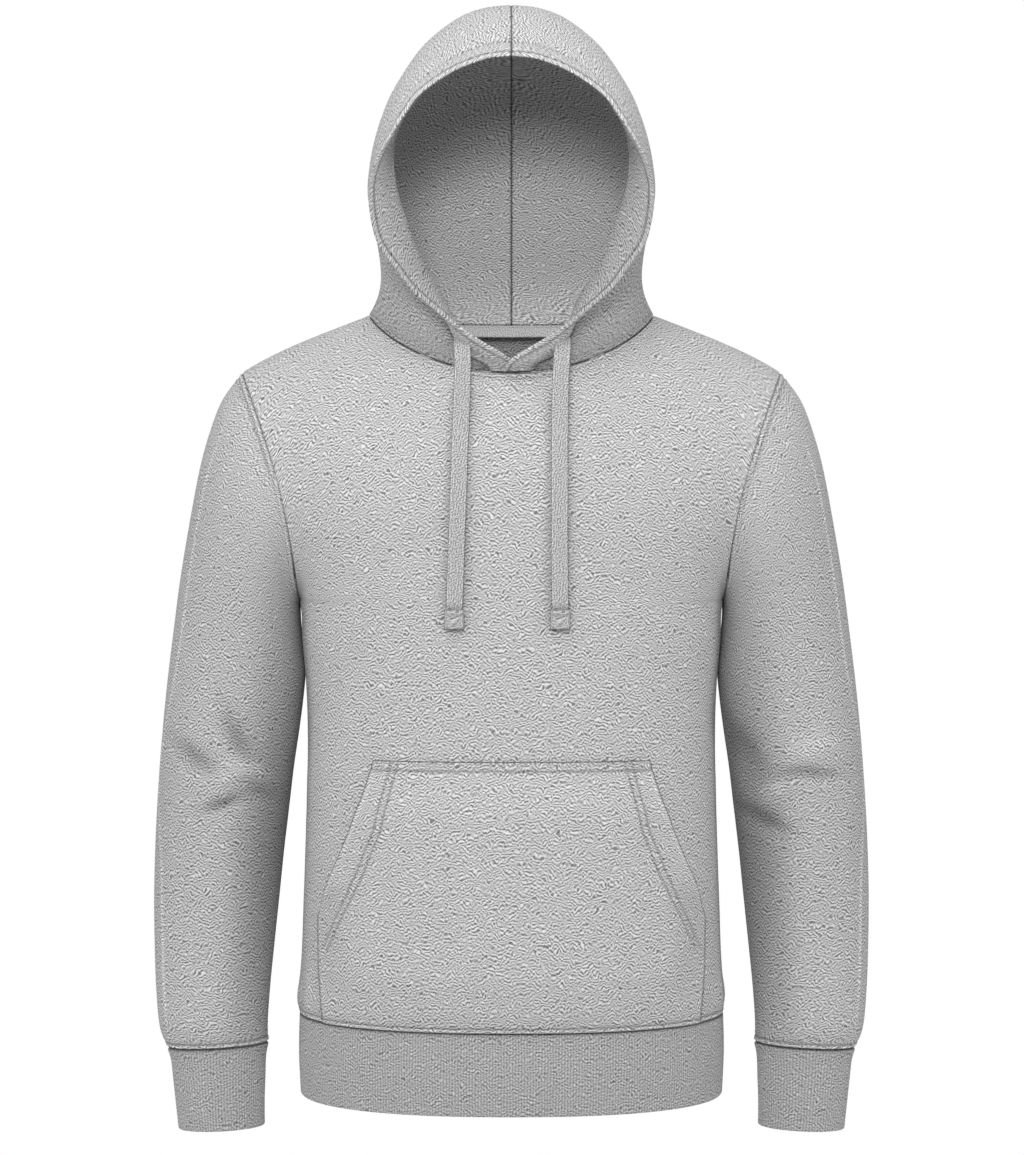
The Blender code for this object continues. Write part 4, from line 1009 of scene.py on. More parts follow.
def body_points(face, u, t):
    """Outer surface of the front (face -1) or back (face 1): u from -1 to 1 across the panel,
    t from 0 at the waist seam to 1 at the underarm and 2 at the shoulder."""
    u, t = np.broadcast_arrays(u, t)
    across = np.abs(u)
    angle = math.pi * (1 - np.clip(t - 1, 0.0, 1.0))
    arm_x, arm_y, arm_z = armhole(-face * angle)
    low = t < 1
    edge_z = np.where(low, WAIST_SEAM_Z + (UNDERARM_Z - WAIST_SEAM_Z) * t, arm_z)
    widest = through(edge_z, BODY["height"], BODY["width"])
    edge_x = np.where(low, widest, np.minimum(arm_x, widest))
    edge_y = np.where(low, 0.0, arm_y)
    rise = np.where(low, 0.0, (1 + np.cos(angle)) / 2)

    open_angle = np.arcsin((edge_x / widest) ** (BODY_SQUARENESS / 2))
    low_share = (np.sin(across * open_angle) / np.sin(open_angle)) ** (2 / BODY_SQUARENESS)
    top_x, top_y, top_z = softened_top(face, across, rise)
    blend = rise ** 1.5
    x = edge_x * ((1 - blend) * low_share + blend * top_x / SHOULDER_X)
    z = np.where(low, edge_z, UNDERARM_Z + rise * (top_z - UNDERARM_Z))

    by_side = across ** 6
    by_top = rise ** 4
    y = body_depth(face, x, z)
    y = y + by_side * (edge_y - body_depth(face, edge_x, edge_z))
    y = y + by_top * (top_y - body_depth(face, top_x, top_z))
    y = y + by_side * by_top * body_depth(face, SHOULDER_X, SHOULDER_Z)
    return np.stack([np.sign(u) * x, y, z], axis=-1)


def body_seam_normals(face, u, t, points, normals):
    """Directions of the wall's thickness: the surface's own, turned towards each seam's."""
    turned = normals
    from_left, from_right = distances(points, 1)
    from_waist, from_top = distances(points, 0)
    angle = math.pi * (1 - np.clip(t - 1, 0.0, 1.0))
    flat_side = normals * (1.0, 0.0, 1.0)
    for distance, sign in ((from_left, -1.0), (from_right, 1.0)):
        on_arm = armhole_normal(-face * angle)[:, None] * (sign, 1.0, 1.0)
        arm = soft_step((t - 0.94) / 0.06)[:, None, None]
        target = unit(unit(flat_side) * (1 - arm) + on_arm * arm)
        turned = lean(turned, target, distance, SEAM_BLEND)
    turned = lean(turned, unit(turned * (1.0, 1.0, 0.0)), from_waist, WAIST_BLEND)
    on_neck = np.abs(u) <= NECK_SHARE
    neck_angle = face * math.pi / 2 * (1 - np.minimum(np.abs(u) / NECK_SHARE, 1.0))
    neck = neck_normal(neck_angle) * np.stack([np.sign(u), np.ones_like(u), np.ones_like(u)], axis=-1)
    shoulder = unit(turned * (1.0, 0.0, 1.0))
    return lean(turned, np.where(on_neck[None, :, None], neck[None], shoulder), from_top, SEAM_BLEND)


def cord_shade(x, z):
    """Soft shade that the drawcords cast on the front, close beside them."""
    shade = 1.0
    for route in CORD_ROUTES.values():
        route = np.array(route)[::-1]
        beside = np.abs(x - np.interp(z, route[:, 2], route[:, 0])) - CORD_WIDTH / 2
        from_tip = z - route[0, 2] + TIP_LENGTH + 0.004
        level = soft_step(from_tip / 0.006) * soft_step((CORD_FREE_Z - z) / 0.01)
        shade = shade * (1 - 0.24 * hump(np.maximum(beside, 0.0) / 0.0042) * level)
    return shade


def body_shade(face, points, from_side, from_waist, from_top, on_neck):
    """Painted shade in a panel's seams and along its sewing, a painted highlight on the roll beside the neck
    seam, and on the front the painted shadow of the cords.
    """
    shade = dark_line(from_side, 0.0009, 0.65) * waist_lines(from_waist)
    if face < 0:
        shade = shade * cord_shade(points[..., 0], points[..., 2])
    shade = shade * dark_line(from_top, 0.0009, 0.75 * on_neck)
    shade = shade * dark_line(from_top - SEWN, 0.0008, 0.28 * on_neck)
    return shade * dark_line(from_top - 0.0024, 0.0012, -0.12 * on_neck)


def body_panel(face):
    """Front or back of the body: outer points, directions of thickness, and the cloth's measures."""
    from_middle = spaced(PANEL_HALF, CLOTH_STEP, NO_SEAM, SEAM_STEPS)
    u = np.concatenate([-from_middle[:0:-1], from_middle])
    low = spaced(UNDERARM_Z - WAIST_SEAM_Z, CLOTH_STEP, SEAM_STEPS, NO_SEAM)
    high = 1 + spaced(PANEL_ABOVE, CLOTH_STEP, NO_SEAM, SEAM_STEPS)
    t = np.concatenate([low[:-1], high])
    points = body_points(face, u[None, :], t[:, None])
    normals = grid_normals(points, False, -face)
    from_left, from_right = distances(points, 1)
    from_waist, from_top = distances(points, 0)
    across = from_left - from_left[:, len(u) // 2][:, None]
    inside = np.minimum(np.minimum(from_left, from_right), from_top)
    height, quick, slow = GATHERS
    gathers = height * np.sin(across * quick + 2.2 * np.sin(across * slow + face)) * hump(from_waist / 0.040)
    free = soft_step(inside / 0.025) * soft_step(from_waist / 0.012)
    folds = gathers - valleys(BODY_FOLDS[face], points[..., 0], points[..., 2])
    low_arm = (t > 1) * soft_step((1.85 - t) / 0.3)
    folds = folds * free + tuck(inside, 0.0013, 0.010) * low_arm[:, None]
    points = points + normals * folds[..., None]
    normals = grid_normals(points, False, -face)
    edgewise = soft_step(1 - np.minimum(from_left, from_right) / 0.005) * (t < 1)[:, None]
    sideways = np.sign(u)[None, :, None] * np.array((1.0, 0.0, 0.0))
    normals = unit(normals * (1 - edgewise[..., None]) + sideways * edgewise[..., None])
    thickness_way = body_seam_normals(face, u, t, points, normals)

    from_left, from_right = distances(points, 1)
    from_waist, from_top = distances(points, 0)
    from_side = np.minimum(from_left, from_right)
    across = from_left - from_left[:, len(u) // 2][:, None]
    on_neck = (np.abs(u) < NECK_SHARE)[None, :]

    skin = seam_dip(from_side) + seam_dip(from_top) + seam_dip(from_waist)
    skin = skin + topstitch_dip(from_waist, across)
    skin = skin + topstitch_dip(from_top, across, 0.0004) * on_neck
    outer = points + normals * skin[..., None]
    inner = points - thickness_way * FLEECE

    shade = body_shade(face, points, from_side, from_waist, from_top, on_neck)
    return {"u": u, "outer": outer, "inner": inner, "normals": normals, "way": thickness_way,
            "across": across, "along": from_waist, "shade": shade}


# ---- sleeves, cuffs and waistband

def ring(section, angle):
    """Closed ring round an arm: from its outer side over the front, inner side and back."""
    cos, sin = np.cos(angle), np.sin(angle)
    middle_x = (section["outer_x"] + section["inner_x"]) / 2
    middle_z = (section["outer_z"] + section["inner_z"]) / 2
    half_x = (section["outer_x"] - section["inner_x"]) / 2
    half_z = (section["outer_z"] - section["inner_z"]) / 2
    x = middle_x + half_x * cos - section.get("scoop", 0.0) * sin ** 2
    y = section["middle_y"] - sin * np.where(sin > 0, section["front"], section["back"])
    return np.stack([x, y, middle_z + half_z * cos], axis=-1)


def section_rows(sections, place):
    """The table's columns read at the given rows, as columns of a grid."""
    rows = np.arange(len(next(iter(sections.values()))), dtype=float)
    return {name: through(place, rows, numbers)[:, None] for name, numbers in sections.items()}


def even_places(line):
    """Rows of a table, in between too, that space the cloth's points evenly along a line with one
    point for each of the table's rows."""
    covered = run_along(line)
    rows = np.arange(len(line), dtype=float)
    return np.interp(spaced(covered[-1], CLOTH_STEP) * covered[-1], covered, rows)


def seam_plane(normals, sections, row):
    """Normals laid into the plane of a seam round the arm."""
    seam = np.array([sections["outer_x"][row] - sections["inner_x"][row], 0.0,
                     sections["outer_z"][row] - sections["inner_z"][row]])
    axis = unit(np.cross(seam, (0.0, 1.0, 0.0)))
    return unit(normals - (normals @ axis)[..., None] * axis)


def closed_measures(points):
    """Across and along of a closed grid, with the first column repeated at the end."""
    again = np.concatenate([points, points[:, :1]], axis=1)
    across = distances(again, 1)[0]
    along = distances(again, 0)[0]
    return across - across[:, -1:] / 2, along


def sleeve_surface(side, angle, place):
    """A sleeve's rings at rows of its table, with its creases and the tuck below the armhole pressed
    in, and the depth of the creases."""
    points = ring(section_rows(SLEEVE, place), angle[None, :])
    from_armhole = distances(points, 0)[0]
    folds = sum(valleys(SLEEVE_FOLDS[side, face], points[..., 0], points[..., 2])
                * soft_step(face * np.sin(angle) / 0.3)[None, :] for face in (1, -1))
    cos = np.cos(angle)
    low_side = (soft_step((0.45 - cos) / 0.5) * soft_step((cos + 0.95) / 0.35))[None, :]
    height = tuck(from_armhole, 0.0030, 0.0085) * low_side - folds
    return points + grid_normals(points, True, 1) * height[..., None], folds


def from_pressed_crease(points, angle, across):
    """Distance round a sleeve from its pressed crease, which runs out to the side at the elbow."""
    at_elbow = hump((points[..., 2].mean(axis=1) - ELBOW_Z) / ELBOW_REACH)
    crease_angle = 2 * math.pi + PRESSED_CREASE + (CREASE_AT_ELBOW - PRESSED_CREASE) * at_elbow
    crease = [np.interp(at, angle, row) for at, row in zip(crease_angle, across)]
    return across - np.array(crease)[:, None]


def sleeve(side):
    """Sleeve from the armhole seam to the cuff.  Columns start at the underarm seam."""
    round_it = math.pi + 2 * math.pi * spaced(ARM_GIRTH, ARM_STEP, NEAR_SEAM, NEAR_SEAM)[:-1]
    creased = 2 * math.pi + PRESSED_CREASE + CREASE_COLUMNS
    angle = np.unique(np.round(np.concatenate([round_it, creased]), 4))
    line = np.stack([(SLEEVE["outer_" + axis] + SLEEVE["inner_" + axis]) / 2 for axis in "xz"], axis=-1)
    place = even_places(line)
    points, folds = sleeve_surface(side, angle, place)
    normals = grid_normals(points, True, 1)
    from_armhole, from_cuff = distances(points, 0)
    across, along = closed_measures(points)
    way = lean(normals, armhole_normal(angle)[None], from_armhole, SEAM_BLEND)
    way = lean(way, seam_plane(way, SLEEVE, -1), from_cuff, CUFF_BLEND)

    from_underarm = np.minimum(across - across[:, :1], across[:, -1:] - across)[:, :-1]
    from_crease = from_pressed_crease(points, angle, across[:, :-1])
    pressed = soft_step(from_armhole / 0.10) * soft_step(from_cuff / 0.06)
    high_side = 0.4 + 0.6 * soft_step(np.cos(angle) / 0.3)[None, :]
    skin = seam_dip(from_armhole) + seam_dip(from_cuff) + 0.6 * seam_dip(from_underarm)
    skin = skin + high_side * topstitch_dip(from_armhole, across[:, :-1], 0.0007)
    skin = skin + topstitch_dip(from_cuff, across[:, :-1])
    skin = skin + 0.0008 * pressed * hump(from_crease / 0.0018)
    outer = points + normals * skin[..., None]
    along = along - along[-1:]
    # Painted shade on the inner side, where the sleeve lies by the body, at the elbow, in the folds, in the
    # seams and in the groove of the sewing; painted light on the ridges, on the roll beside the armhole seam
    # and along the pressed crease.  The shade is also a little darker over the upper sleeve.
    inner_side = soft_step(-np.cos(angle) / 0.8 - 0.1)[None, :] * hump((place - 10.0) / 4.5)[:, None]
    elbow = hump((place - 9.6) / 2.6)[:, None] * soft_step(np.sin(angle) + 0.5)[None, :]
    shade = dark_line(from_armhole, 0.0009, 0.65) * waist_lines(from_cuff)
    shade = shade * dark_line(from_underarm, 0.0009, 0.4)
    shade = shade * np.clip(1 - FOLD_SHADE * folds, 0.6, 1.15) * (1 - 0.40 * inner_side) * (1 - 0.10 * elbow)
    shade = shade * (1 - 0.10 * hump((place - 4.5) / 3)[:, None])
    shade = shade * dark_line(from_armhole - SEWN, 0.0009, 0.45 * high_side)
    shade = shade * dark_line(from_armhole - 0.0025, 0.0012, -0.12 * high_side)
    shade = shade * dark_line(from_crease, 0.0018, -0.27 * pressed)
    return {"outer": outer, "inner": points - way * FLEECE, "normals": normals, "across": across,
            "along": along, "angle": angle, "shade": shade}


def rib_height(columns, rows):
    """Height of a rib knit: one wave for each rib, a little uneven along its length."""
    phase = np.arange(columns)[None, :] / RIB_POINTS
    sway = 0.10 * np.sin(np.arange(rows)[:, None] * 0.9 + phase * 0.7)
    wave = 0.5 + 0.5 * np.cos(2 * math.pi * (phase + sway))
    return RIB_HEIGHT * wave ** 0.8


def ribbed(points, normals):
    """Outer and inner surface of a rib knit tube, its lower edge folded round."""
    rows, columns = points.shape[:2]
    from_first, from_last = distances(points, 0)
    skin = rib_height(columns, rows) + seam_dip(from_first)
    fold = np.sqrt(np.clip(1 - (1 - from_last / RIB_FOLD) ** 2, 0.0, 1.0))
    fold = np.where(from_last > RIB_FOLD, 1.0, fold)
    middle = points - normals * RIB_CLOTH / 2
    outer = middle + normals * ((RIB_CLOTH / 2 + skin) * fold)[..., None]
    inner = middle - normals * (RIB_CLOTH / 2 * np.maximum(fold, 0.05))[..., None]
    # Painted shade in the valleys between the ribs and in the seam.
    shade = (0.70 + 0.42 * rib_height(columns, rows) / RIB_HEIGHT) * dark_line(from_first, 0.0012, 0.65)
    across, along = closed_measures(points)
    return {"outer": outer, "inner": inner, "normals": normals, "across": across, "along": along,
            "shade": shade}


def cuff():
    """Cuff, narrower towards the hand."""
    girth = 2 * math.pi * (CUFF["outer_x"][0] - CUFF["inner_x"][0]) / 2 * 0.8
    columns = RIB_POINTS * round(girth / RIB_PITCH)
    angle = math.pi + np.arange(columns) * 2 * math.pi / columns
    place = (len(CUFF["outer_x"]) - 1) * spaced(CUFF_HEIGHT, 0.005, NEAR_SEAM, RIB_EDGE)
    points = ring(section_rows(CUFF, place), angle[None, :])
    normals = grid_normals(points, True, 1)
    from_top = distances(points, 0)[0]
    return points, lean(normals, seam_plane(normals, CUFF, 0), from_top, RIB_TURN)


def waistband():
    """Waistband: a squarish oval under the body, drawn in a little at its lower edge."""
    girth = 2 * math.pi * math.sqrt((WAISTBAND["width"][-1] ** 2 + WAISTBAND["front"][-1] ** 2) / 2)
    columns = RIB_POINTS * round(girth / RIB_PITCH)
    angle = math.pi * 1.5 + np.arange(columns) * 2 * math.pi / columns
    place = spaced(BAND_HEIGHT, 0.0065, NEAR_SEAM, RIB_EDGE)
    height = WAIST_SEAM_Z - place * BAND_HEIGHT
    width, front, back = (through(height, WAISTBAND["height"], WAISTBAND[name])[:, None]
                          for name in ("width", "front", "back"))
    power = 2 / BODY_SQUARENESS
    even = even_angles(angle, power, width[0, 0], (front[0, 0] + back[0, 0]) / 2)
    cos, sin = rounded(np.cos(even), power), rounded(np.sin(even), power)
    depth = np.where(sin[None, :] > 0, front, back)
    x = width * cos[None, :]
    points = np.stack([x, -depth * sin[None, :], np.broadcast_to(height[:, None], x.shape)], axis=-1)
    normals = grid_normals(points, True, 1)
    return points, lean(normals, unit(normals * (1, 1, 0)), distances(points, 0)[0], RIB_TURN)


def even_angles(angle, power, width, depth):
    """Angles of a squarish oval that space its points evenly round it, from the first one on."""
    fine = np.linspace(angle[0], angle[0] + 2 * math.pi, 7201)
    x, y = width * rounded(np.cos(fine), power), depth * rounded(np.sin(fine), power)
    covered = np.concatenate([[0.0], np.cumsum(np.hypot(np.diff(x), np.diff(y)))])
    return np.interp(np.arange(len(angle)) / len(angle) * covered[-1], covered, fine)


# ---- hood

def hood_points(place, lies_over):
    """Surface of half a hood at rows of its table: the drawcord channel straight from the folded
    edge to the crease, then a quarter oval forwards of the side and one behind it.  Returns both,
    with the share across the channel and the ovals' angles."""
    at = section_rows(HOOD, place)
    share = spaced(CHANNEL_WIDTH, CHANNEL_STEP, CHANNEL_STEPS, CREASE_STEPS[:-1])[None, :-1]
    lap = at["lap"] * soft_step((1 - share) / 0.35) * (-OVERLAP_OUT if lies_over else OVERLAP_IN)
    channel = np.stack([at["fold_" + axis] + (at["crease_" + axis] - at["fold_" + axis]) * share
                        for axis in "xyz"], axis=-1)
    channel[..., 1] += lap

    start = -np.arccos(np.clip(at["crease_x"] / at["side_x"], 0.0, 1.0))
    front = spaced(AHEAD_LENGTH, CLOTH_STEP, CREASE_STEPS, NO_SEAM)
    rear = spaced(BEHIND_LENGTH, CLOTH_STEP, NO_SEAM, SEAM_STEPS)
    behind = np.broadcast_to(math.pi / 2 * rear[1:], (len(start), len(rear) - 1))
    angle = np.concatenate([start * (1 - front), behind], axis=1)
    cos, sin = np.cos(angle), np.sin(angle)
    reach = (at["crease_y"] - at["side_y"]) / np.sin(start)
    y = at["side_y"] + np.where(sin < 0, reach, at["back_y"] - at["side_y"]) * sin
    power = NECK_DIP + (2 - NECK_DIP) * soft_step(place / 3)[:, None]
    ahead = (np.abs(sin) / np.abs(np.sin(start))) ** power
    z_front = at["side_z"] + (at["crease_z"] - at["side_z"]) * ahead
    z_back = at["side_z"] + (at["back_z"] - at["side_z"]) * np.abs(sin) ** power
    shell = np.stack([at["side_x"] * cos, y, np.where(sin < 0, z_front, z_back)], axis=-1)
    return channel, shell, share[0], angle


def hood_half(lies_over):
    """Half hood on the +X side: from the folded front edge over the drawcord channel and round to
    the centre seam, and from the neck seam up to the crown."""
    side_line = np.stack([HOOD["side_" + axis] for axis in "xyz"], axis=-1)
    place = even_places(side_line)
    channel, shell, over_channel, angle = hood_points(place, lies_over)
    points = np.concatenate([channel, shell], axis=1)
    normals = grid_normals(points, False, 1)
    crease = channel.shape[1]
    from_neck, from_crown = distances(points, 0)
    from_fold, from_centre = distances(points, 1)
    neck = np.concatenate([np.broadcast_to((0.0, -1.0, 0.0), (crease, 3)), neck_normal(angle[0])])
    from_join = np.minimum(from_centre, from_crown)
    way = lean(normals, neck[None], from_neck, SEAM_BLEND)
    way = lean(way, unit(way * (0, 1, 1)), from_join, CROWN_BLEND)
    points[-1, :, 0] = 0.0
    points[:, -1, 0] = 0.0

    share = np.concatenate([over_channel, np.ones(shell.shape[1])])
    puff = CHANNEL_PUFF * np.sin(math.pi * share) + FOLD_EXTRA * (1 - share)
    flat = CHANNEL_FLAT_OVER if lies_over else CHANNEL_FLAT
    full = flat + (1 - flat) * soft_step(place / 2)
    puff = puff[None, :] * full[:, None]
    thickness = FLEECE + puff
    nose = np.sqrt(np.clip(1 - (1 - from_fold / FOLD_ROUND) ** 2, 0.0, 1.0))
    nose = np.where(from_fold > FOLD_ROUND, 1.0, np.maximum(nose, 0.06))
    middle = points + way * ((puff - thickness) / 2)[..., None]
    skin = seam_dip(from_neck) + 0.65 * seam_dip(from_join) + topstitch_dip(from_neck, from_fold)
    from_crease = np.abs(from_fold - from_fold[:, crease:crease + 1])
    sewn = 0.00045 * hump((from_fold - EDGE_SEWN) / 0.0011)
    crown = soft_step((place - 9) / 4)[:, None]
    quick, slow = TICKS
    ticks = np.sin(from_neck * quick + 1.4 * np.sin(from_neck * slow)) * hump((from_fold - 0.007) / 0.008)
    ticks = ticks * (0.7 + 0.5 * crown)
    skin = skin - 0.0018 * hump(from_crease / 0.0018) - sewn + 0.00035 * ticks
    outer = middle + way * ((thickness / 2) * nose)[..., None] + normals * skin[..., None]
    pressed_in = sewn + 0.0007 * hump(from_join / 0.0010) + 0.00025 * ticks
    inner = middle - way * ((thickness / 2) * nose - pressed_in)[..., None]
    across = from_fold - from_fold[:, crease:crease + 1]
    # Painted shade in the groove of the edge sewing, with a faint painted highlight beside it, and in the
    # centre seam, the neck seam, the crease and the neck sewing; painted light and shade on the puckers, and
    # painted light on the top of the hood.
    sewing_groove_shade = dark_line(from_fold - EDGE_SEWN, 0.0008, 0.58)
    sewing_groove_shade = sewing_groove_shade * dark_line(from_fold - 0.0020, 0.0012, -0.05)
    join = dark_line(from_join, 0.0010, 0.80)
    shade = join * sewing_groove_shade * dark_line(from_neck, 0.0010, 0.75) * dark_line(from_crease, 0.0011, 0.35)
    shade = shade * dark_line(from_neck - SEWN, 0.0009, 0.20) * (1 + 0.09 * ticks) * (1 + 0.09 * crown)
    # Painted shadow under the rolled edge, near the neck.
    under_roll = (from_fold > from_fold[:, crease:crease + 1]) * (1 - soft_step(place / 7))[:, None]
    shade = shade * (1 - 0.62 * under_roll * np.exp(-from_crease / 0.012)) * (1 - 0.26 * under_roll)
    # Inside: painted shade on the inner face of the drawcord channel, and painted light on the lower part of
    # the hood's inside.
    inside = np.concatenate([0.64 - 0.14 * over_channel, np.ones(shell.shape[1])])[None, :]
    inside = inside * (1 + 0.20 * soft_step((12 - place) / 4))[:, None]
    shade_in = join * sewing_groove_shade * dark_line(from_crease, 0.0012, 0.35) * inside
    return {"outer": outer, "inner": inner, "normals": normals, "across": across, "along": from_neck,
            "crease": crease, "shade": shade, "shade_in": shade_in}


# ---- what lies on the panels

def pocket_surface(x, z):
    """Front panel's surface under the pocket, and its outward direction."""
    points = np.stack([x, body_depth(-1, x, z), z], axis=-1)
    small = 1e-4
    slope_x = (body_depth(-1, x + small, z) - body_depth(-1, x - small, z)) / (2 * small)
    slope_z = (body_depth(-1, x, z + small) - body_depth(-1, x, z - small)) / (2 * small)
    return points, unit(np.stack([slope_x, np.full_like(x, -1.0), slope_z], axis=-1))


def pocket():
    """Kangaroo pocket: the front panel's own surface moved out, sewn down along the top, the
    bottom and the lower sides, and standing off at the slanted hand openings."""
    low, high = POCKET["height"][0], POCKET["height"][-1]
    height = low + spaced(high - low, POCKET_STEPS[1]) * (high - low)
    width = np.interp(height, POCKET["height"], POCKET["width"])
    half = np.concatenate([spaced(POCKET_HALF, POCKET_STEPS[0], NO_SEAM, SEAM_STEPS), HEM_COLUMNS])
    half = np.unique(np.round(half / 0.0015)) * 0.0015
    half = np.minimum(half / half[-1], 1.0)
    across = np.concatenate([-half[:0:-1], half])
    x = width[:, None] * across[None, :]
    z = np.broadcast_to(height[:, None], x.shape)
    points, normals = pocket_surface(x, z)

    up = (height - height[0]) / (height[-1] - height[0])
    from_seams = soft_step(np.minimum(up, 1 - up) / 0.22)[:, None]
    opening = soft_step((height - POCKET_SEWN_Z) / 0.035)[:, None]
    from_side = soft_step((1 - np.abs(across)) / 0.25)[None, :]
    lift = POCKET_EDGE_LIFT + POCKET_FULLNESS * from_seams * (opening + (1 - opening) * from_side)
    base = points + normals * lift[..., None]
    from_low, from_high = distances(base, 0)
    from_left, from_right = distances(base, 1)
    from_edge = np.minimum(from_left, from_right)
    measure = from_left - from_left[:, len(half) - 1:len(half)]
    hem = np.interp(height, POCKET_HEM["height"], POCKET_HEM["x"])[:, None]
    hemmed = soft_step((height - HEM_LOW_Z) / 0.006)[:, None]
    rows_of_sewing = hump((np.abs(x) - hem) / 0.0011) + hump((np.abs(x) - hem + HEM_ROWS_APART) / 0.0011)
    skin = topstitch_dip(from_high, measure, 0.0004) + seam_dip(from_low) - 0.0005 * rows_of_sewing * hemmed
    skin = skin - 0.0006 * hump((from_high - SECOND_ROW) / 0.0013)
    sewn_side = 1 - soft_step((height - POCKET_SEWN_Z) / 0.010)[:, None]
    skin = skin - 0.0005 * sewn_side * hump((from_edge - SIDE_SEWN) / 0.0012)
    round_edge = 0.0008 * (hump(from_edge / 0.0008) + hump(from_high / 0.0008))
    outer = base + normals * (FLEECE + skin - round_edge)[..., None]
    # Painted shade in the waist seam, along the top and the edges where the pocket stands off, and in the
    # grooves of its sewing; painted highlights on the rolls beside them.
    shade = waist_lines(from_low) * dark_line(from_high, 0.0010, 0.85) * dark_line(from_edge, 0.0013, 0.88)
    shade = shade * dark_line(from_high - SECOND_ROW, 0.0011, 0.45)
    shade = shade * dark_line(from_high - 0.0026, 0.0012, -0.22)
    shade = shade * dark_line(from_edge - 0.0036, 0.0016, -0.14) * (1 - 0.32 * rows_of_sewing * hemmed)
    shade = shade * dark_line(from_edge - SIDE_SEWN, 0.0010, 0.4 * sewn_side)
    return {"outer": outer, "inner": base, "normals": normals, "across": measure, "along": from_low,
            "height": height, "share": across, "width": width, "shade": shade}


def on_pocket(grid, x, z):
    """Places on the pocket's outer surface at x and z, and the directions it faces there."""
    row = np.interp(z, grid["height"], np.arange(len(grid["height"])))
    column = np.interp(x / np.interp(z, grid["height"], grid["width"]), grid["share"],
                       np.arange(len(grid["share"])))
    low, left = row.astype(int), column.astype(int)
    high, right = np.minimum(low + 1, len(grid["height"]) - 1), np.minimum(left + 1, len(grid["share"]) - 1)
    up, over = (row - low)[:, None], (column - left)[:, None]
    read = []
    for name in ("outer", "normals"):
        field = grid[name]
        bottom = field[low, left] * (1 - over) + field[low, right] * over
        top = field[high, left] * (1 - over) + field[high, right] * over
        read.append(bottom * (1 - up) + top * up)
    return read[0], read[1]


def pocket_sewing(grid):
    """Rows of sewing on the pocket: two along its top, two along each slanted hem, and one down
    each side that is sewn to the front."""
    paths = [(grid["outer"][-1 - row], grid["normals"][-1 - row]) for row in TOP_SEWN_AT]
    for side in (-1, 1):
        for inward in (0.0, HEM_ROWS_APART):
            z = np.linspace(HEM_LOW_Z, POCKET_TOP_Z - 0.004, 80)
            x = np.interp(z, POCKET_HEM["height"], POCKET_HEM["x"]) - inward
            paths.append(on_pocket(grid, side * x, z))
        z = np.linspace(WAIST_SEAM_Z + 0.004, POCKET_SEWN_Z, 40)
        x = np.interp(z, POCKET["height"], POCKET["width"]) - SIDE_SEWN
        paths.append(on_pocket(grid, side * x, z))
    return paths


def neck_tape(back):
    """Tape that hangs from the back panel's neck seam on the inside, nearly straight down, while
    the back slopes away behind it."""
    on_neck = np.flatnonzero(np.abs(back["u"]) <= NECK_SHARE)
    seam = back["inner"][-1, on_neck]
    way = unit(back["way"][-1, on_neck] * (1.0, 1.0, 0.0))[None]
    down = np.linspace(0.0, TAPE_HEIGHT, 10)[::-1, None]
    hang = seam[None] + way * (TAPE_LEAN * down - TAPE_GAP)[..., None]
    hang = hang - np.array((0.0, 0.0, 1.0)) * down[..., None]
    across, along = np.broadcast_arrays(back["across"][-1:, on_neck], -down)
    # Painted shade along the tape's lower and upper edges.
    shade = dark_line(down, 0.0007, 0.5) * dark_line(down - TAPE_HEIGHT, 0.0008, 0.6)
    return {"outer": hang, "inner": hang - way * TAPE_CLOTH, "normals": np.broadcast_to(-way, hang.shape),
            "across": across, "along": along, "shade": shade, "shade_in": shade}


def mirrored(grid, turn):
    """A grid with its points and directions turned to one side of the body."""
    return {**grid, **{name: grid[name] * turn for name in ("outer", "inner", "normals")}}


def cloth_wall(name, grid, closed, start=0.0, material=FLEECE_FINISH):
    """The wall of a piece of cloth, from its grid."""
    return wall(name, grid["outer"], grid["inner"], material, closed, grid["across"], grid["along"],
                start, grid["shade"], grid.get("shade_in", 1.0))


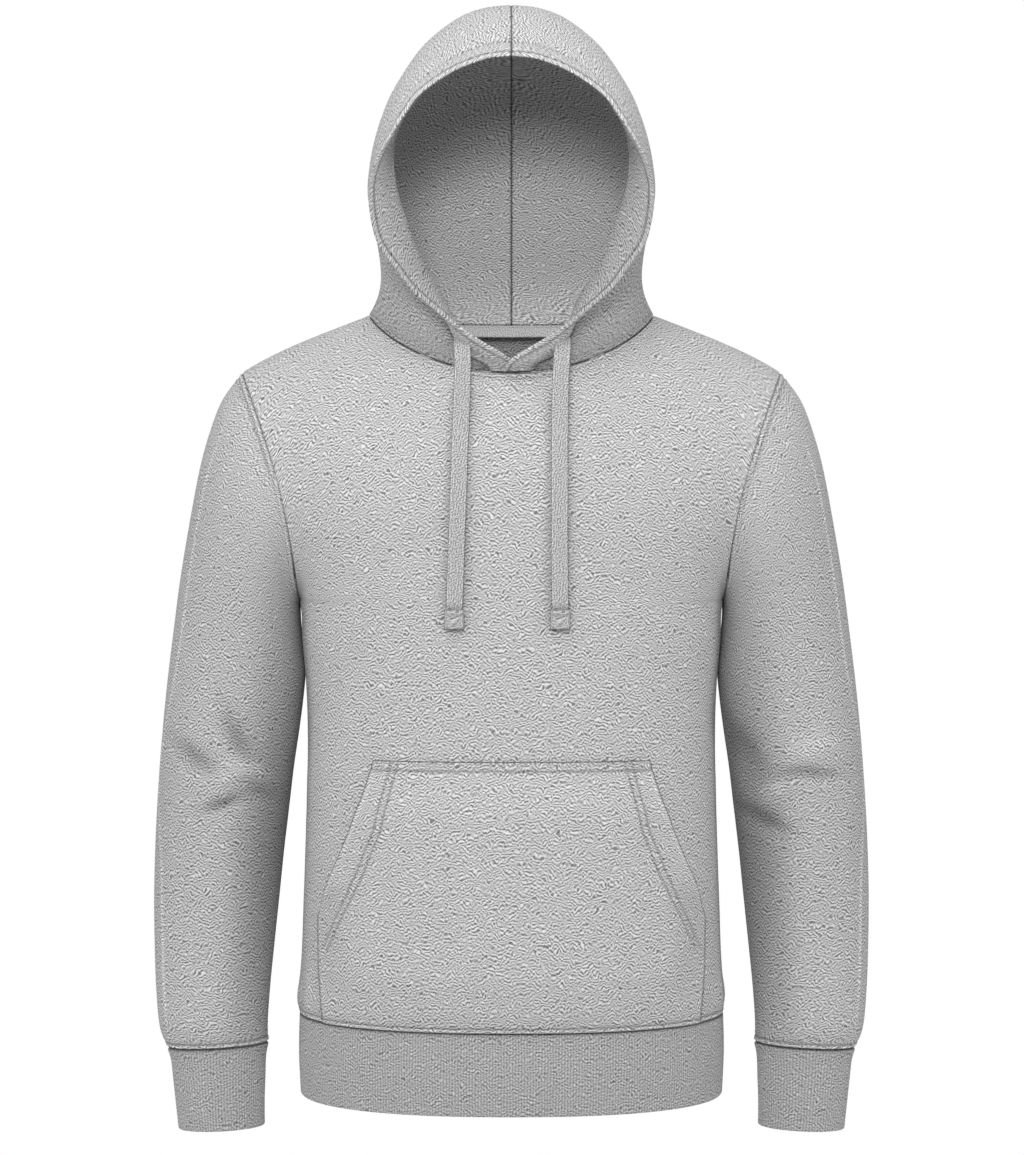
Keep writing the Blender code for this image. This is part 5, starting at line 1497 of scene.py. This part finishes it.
def build_cloth():
    """Makes every piece of cloth and the sewing on it.  Returns the cloth by the name of the node
    that each stands for, and the sewing as rows of points and directions by name."""
    pieces, sewing = {}, {}
    body = {"front_panel": body_panel(-1), "back_panel": body_panel(1)}
    for node, grid in body.items():
        pieces[node] = cloth_wall("cloth_" + node, grid, False)
        on_neck = np.flatnonzero(np.abs(grid["u"]) <= NECK_SHARE)
        outer, normals = grid["outer"], grid["normals"]
        sewing["sewing_" + node] = [(outer[SEWN_AT], normals[SEWN_AT]),
                                    (outer[-1 - SEWN_AT, on_neck], normals[-1 - SEWN_AT, on_neck])]
    grid = pocket()
    pieces["kangaroo_pocket"] = cloth_wall("cloth_kangaroo_pocket", grid, False)
    sewing["sewing_pocket"] = pocket_sewing(grid)
    grid = neck_tape(body["back_panel"])
    pieces["back_neck_tape"] = cloth_wall("cloth_back_neck_tape", grid, False, material=NECK_TAPE_PAINTED_LIGHT_FINISH)
    sewing["sewing_neck_tape"] = [(grid["inner"][row], grid["normals"][row]) for row in (1, -2)]
    pieces["waistband"] = cloth_wall("rib_waistband", ribbed(*waistband()), True, material=RIB_FINISH)

    for side, sign, start in (("left", 1.0, 0.0), ("right", -1.0, OTHER_CUT)):
        turn = np.array([sign, 1.0, 1.0])
        grid = mirrored(sleeve(side), turn)
        pieces["sleeve_" + side] = cloth_wall("cloth_sleeve_" + side, grid, True, start)
        outer, normals = grid["outer"], grid["normals"]
        upper = np.flatnonzero(np.cos(grid["angle"]) > 0.1)
        sewing["sewing_sleeve_" + side] = [
            (outer[SEWN_AT, upper], normals[SEWN_AT, upper]),
            (looped(outer[-1 - SEWN_AT]), looped(normals[-1 - SEWN_AT]))]
        grid = mirrored(ribbed(*cuff()), turn)
        pieces["cuff_" + side] = cloth_wall("rib_cuff_" + side, grid, True, start, RIB_FINISH)
        grid = mirrored(hood_half(side == "left"), turn)
        pieces["hood_" + side] = cloth_wall("cloth_hood_" + side, grid, False, start)
        outer, normals = grid["outer"], grid["normals"]
        edge_rows = slice(UNSEWN_ENDS, -UNSEWN_ENDS)
        sewing["sewing_hood_" + side] = [
            (grid[face][edge_rows, column], facing * normals[edge_rows, column])
            for column in (HOOD_EDGE_COLUMN, grid["crease"] - 2)
            for face, facing in (("outer", 1), ("inner", -1))]
        sewing["sewing_hood_" + side].append(
            (outer[SEWN_AT, NECK_SEWN_FROM:], normals[SEWN_AT, NECK_SEWN_FROM:]))
    return pieces, sewing


# Width and length of each cut, its area, how it is held and what it hangs from or lies on.
SHEETS = {
    "front_panel": (0.617, 0.664, 0.287, "hung", ["back_panel"]),
    "back_panel": (0.570, 0.678, 0.299, "hung", ["front_panel"]),
    "waistband": (1.004, 0.070, 0.0702, "stretched", ["front_panel", "back_panel"]),
    "kangaroo_pocket": (0.383, 0.246, 0.0755, "laid", ["front_panel"]),
    "back_neck_tape": (0.325, 0.011, 0.0035, "laid", ["back_panel"]),
    "sleeve": (0.585, 0.605, 0.183, "hung", ["front_panel", "back_panel"]),
    "cuff": (0.232, 0.073, 0.0154, "stretched", ["sleeve"]),
    "hood": (0.367, 0.413, 0.095, "hung", ["front_panel", "back_panel"]),
}

cloth, sewing = build_cloth()
for node, piece in cloth.items():
    kind, _, side = node.partition("_") if node.endswith(("_left", "_right")) else (node, "", "")
    width, length, area, held, on = SHEETS[kind]
    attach(piece, "root")
    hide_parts(node)
    [name + "_" + side if name == "sleeve" else name for name in on]
for name, paths in sewing.items():
    piece = stitches(name, paths, PALE_THREAD_FINISH if name == "sewing_neck_tape" else THREAD_FINISH)
    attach(piece, "root")
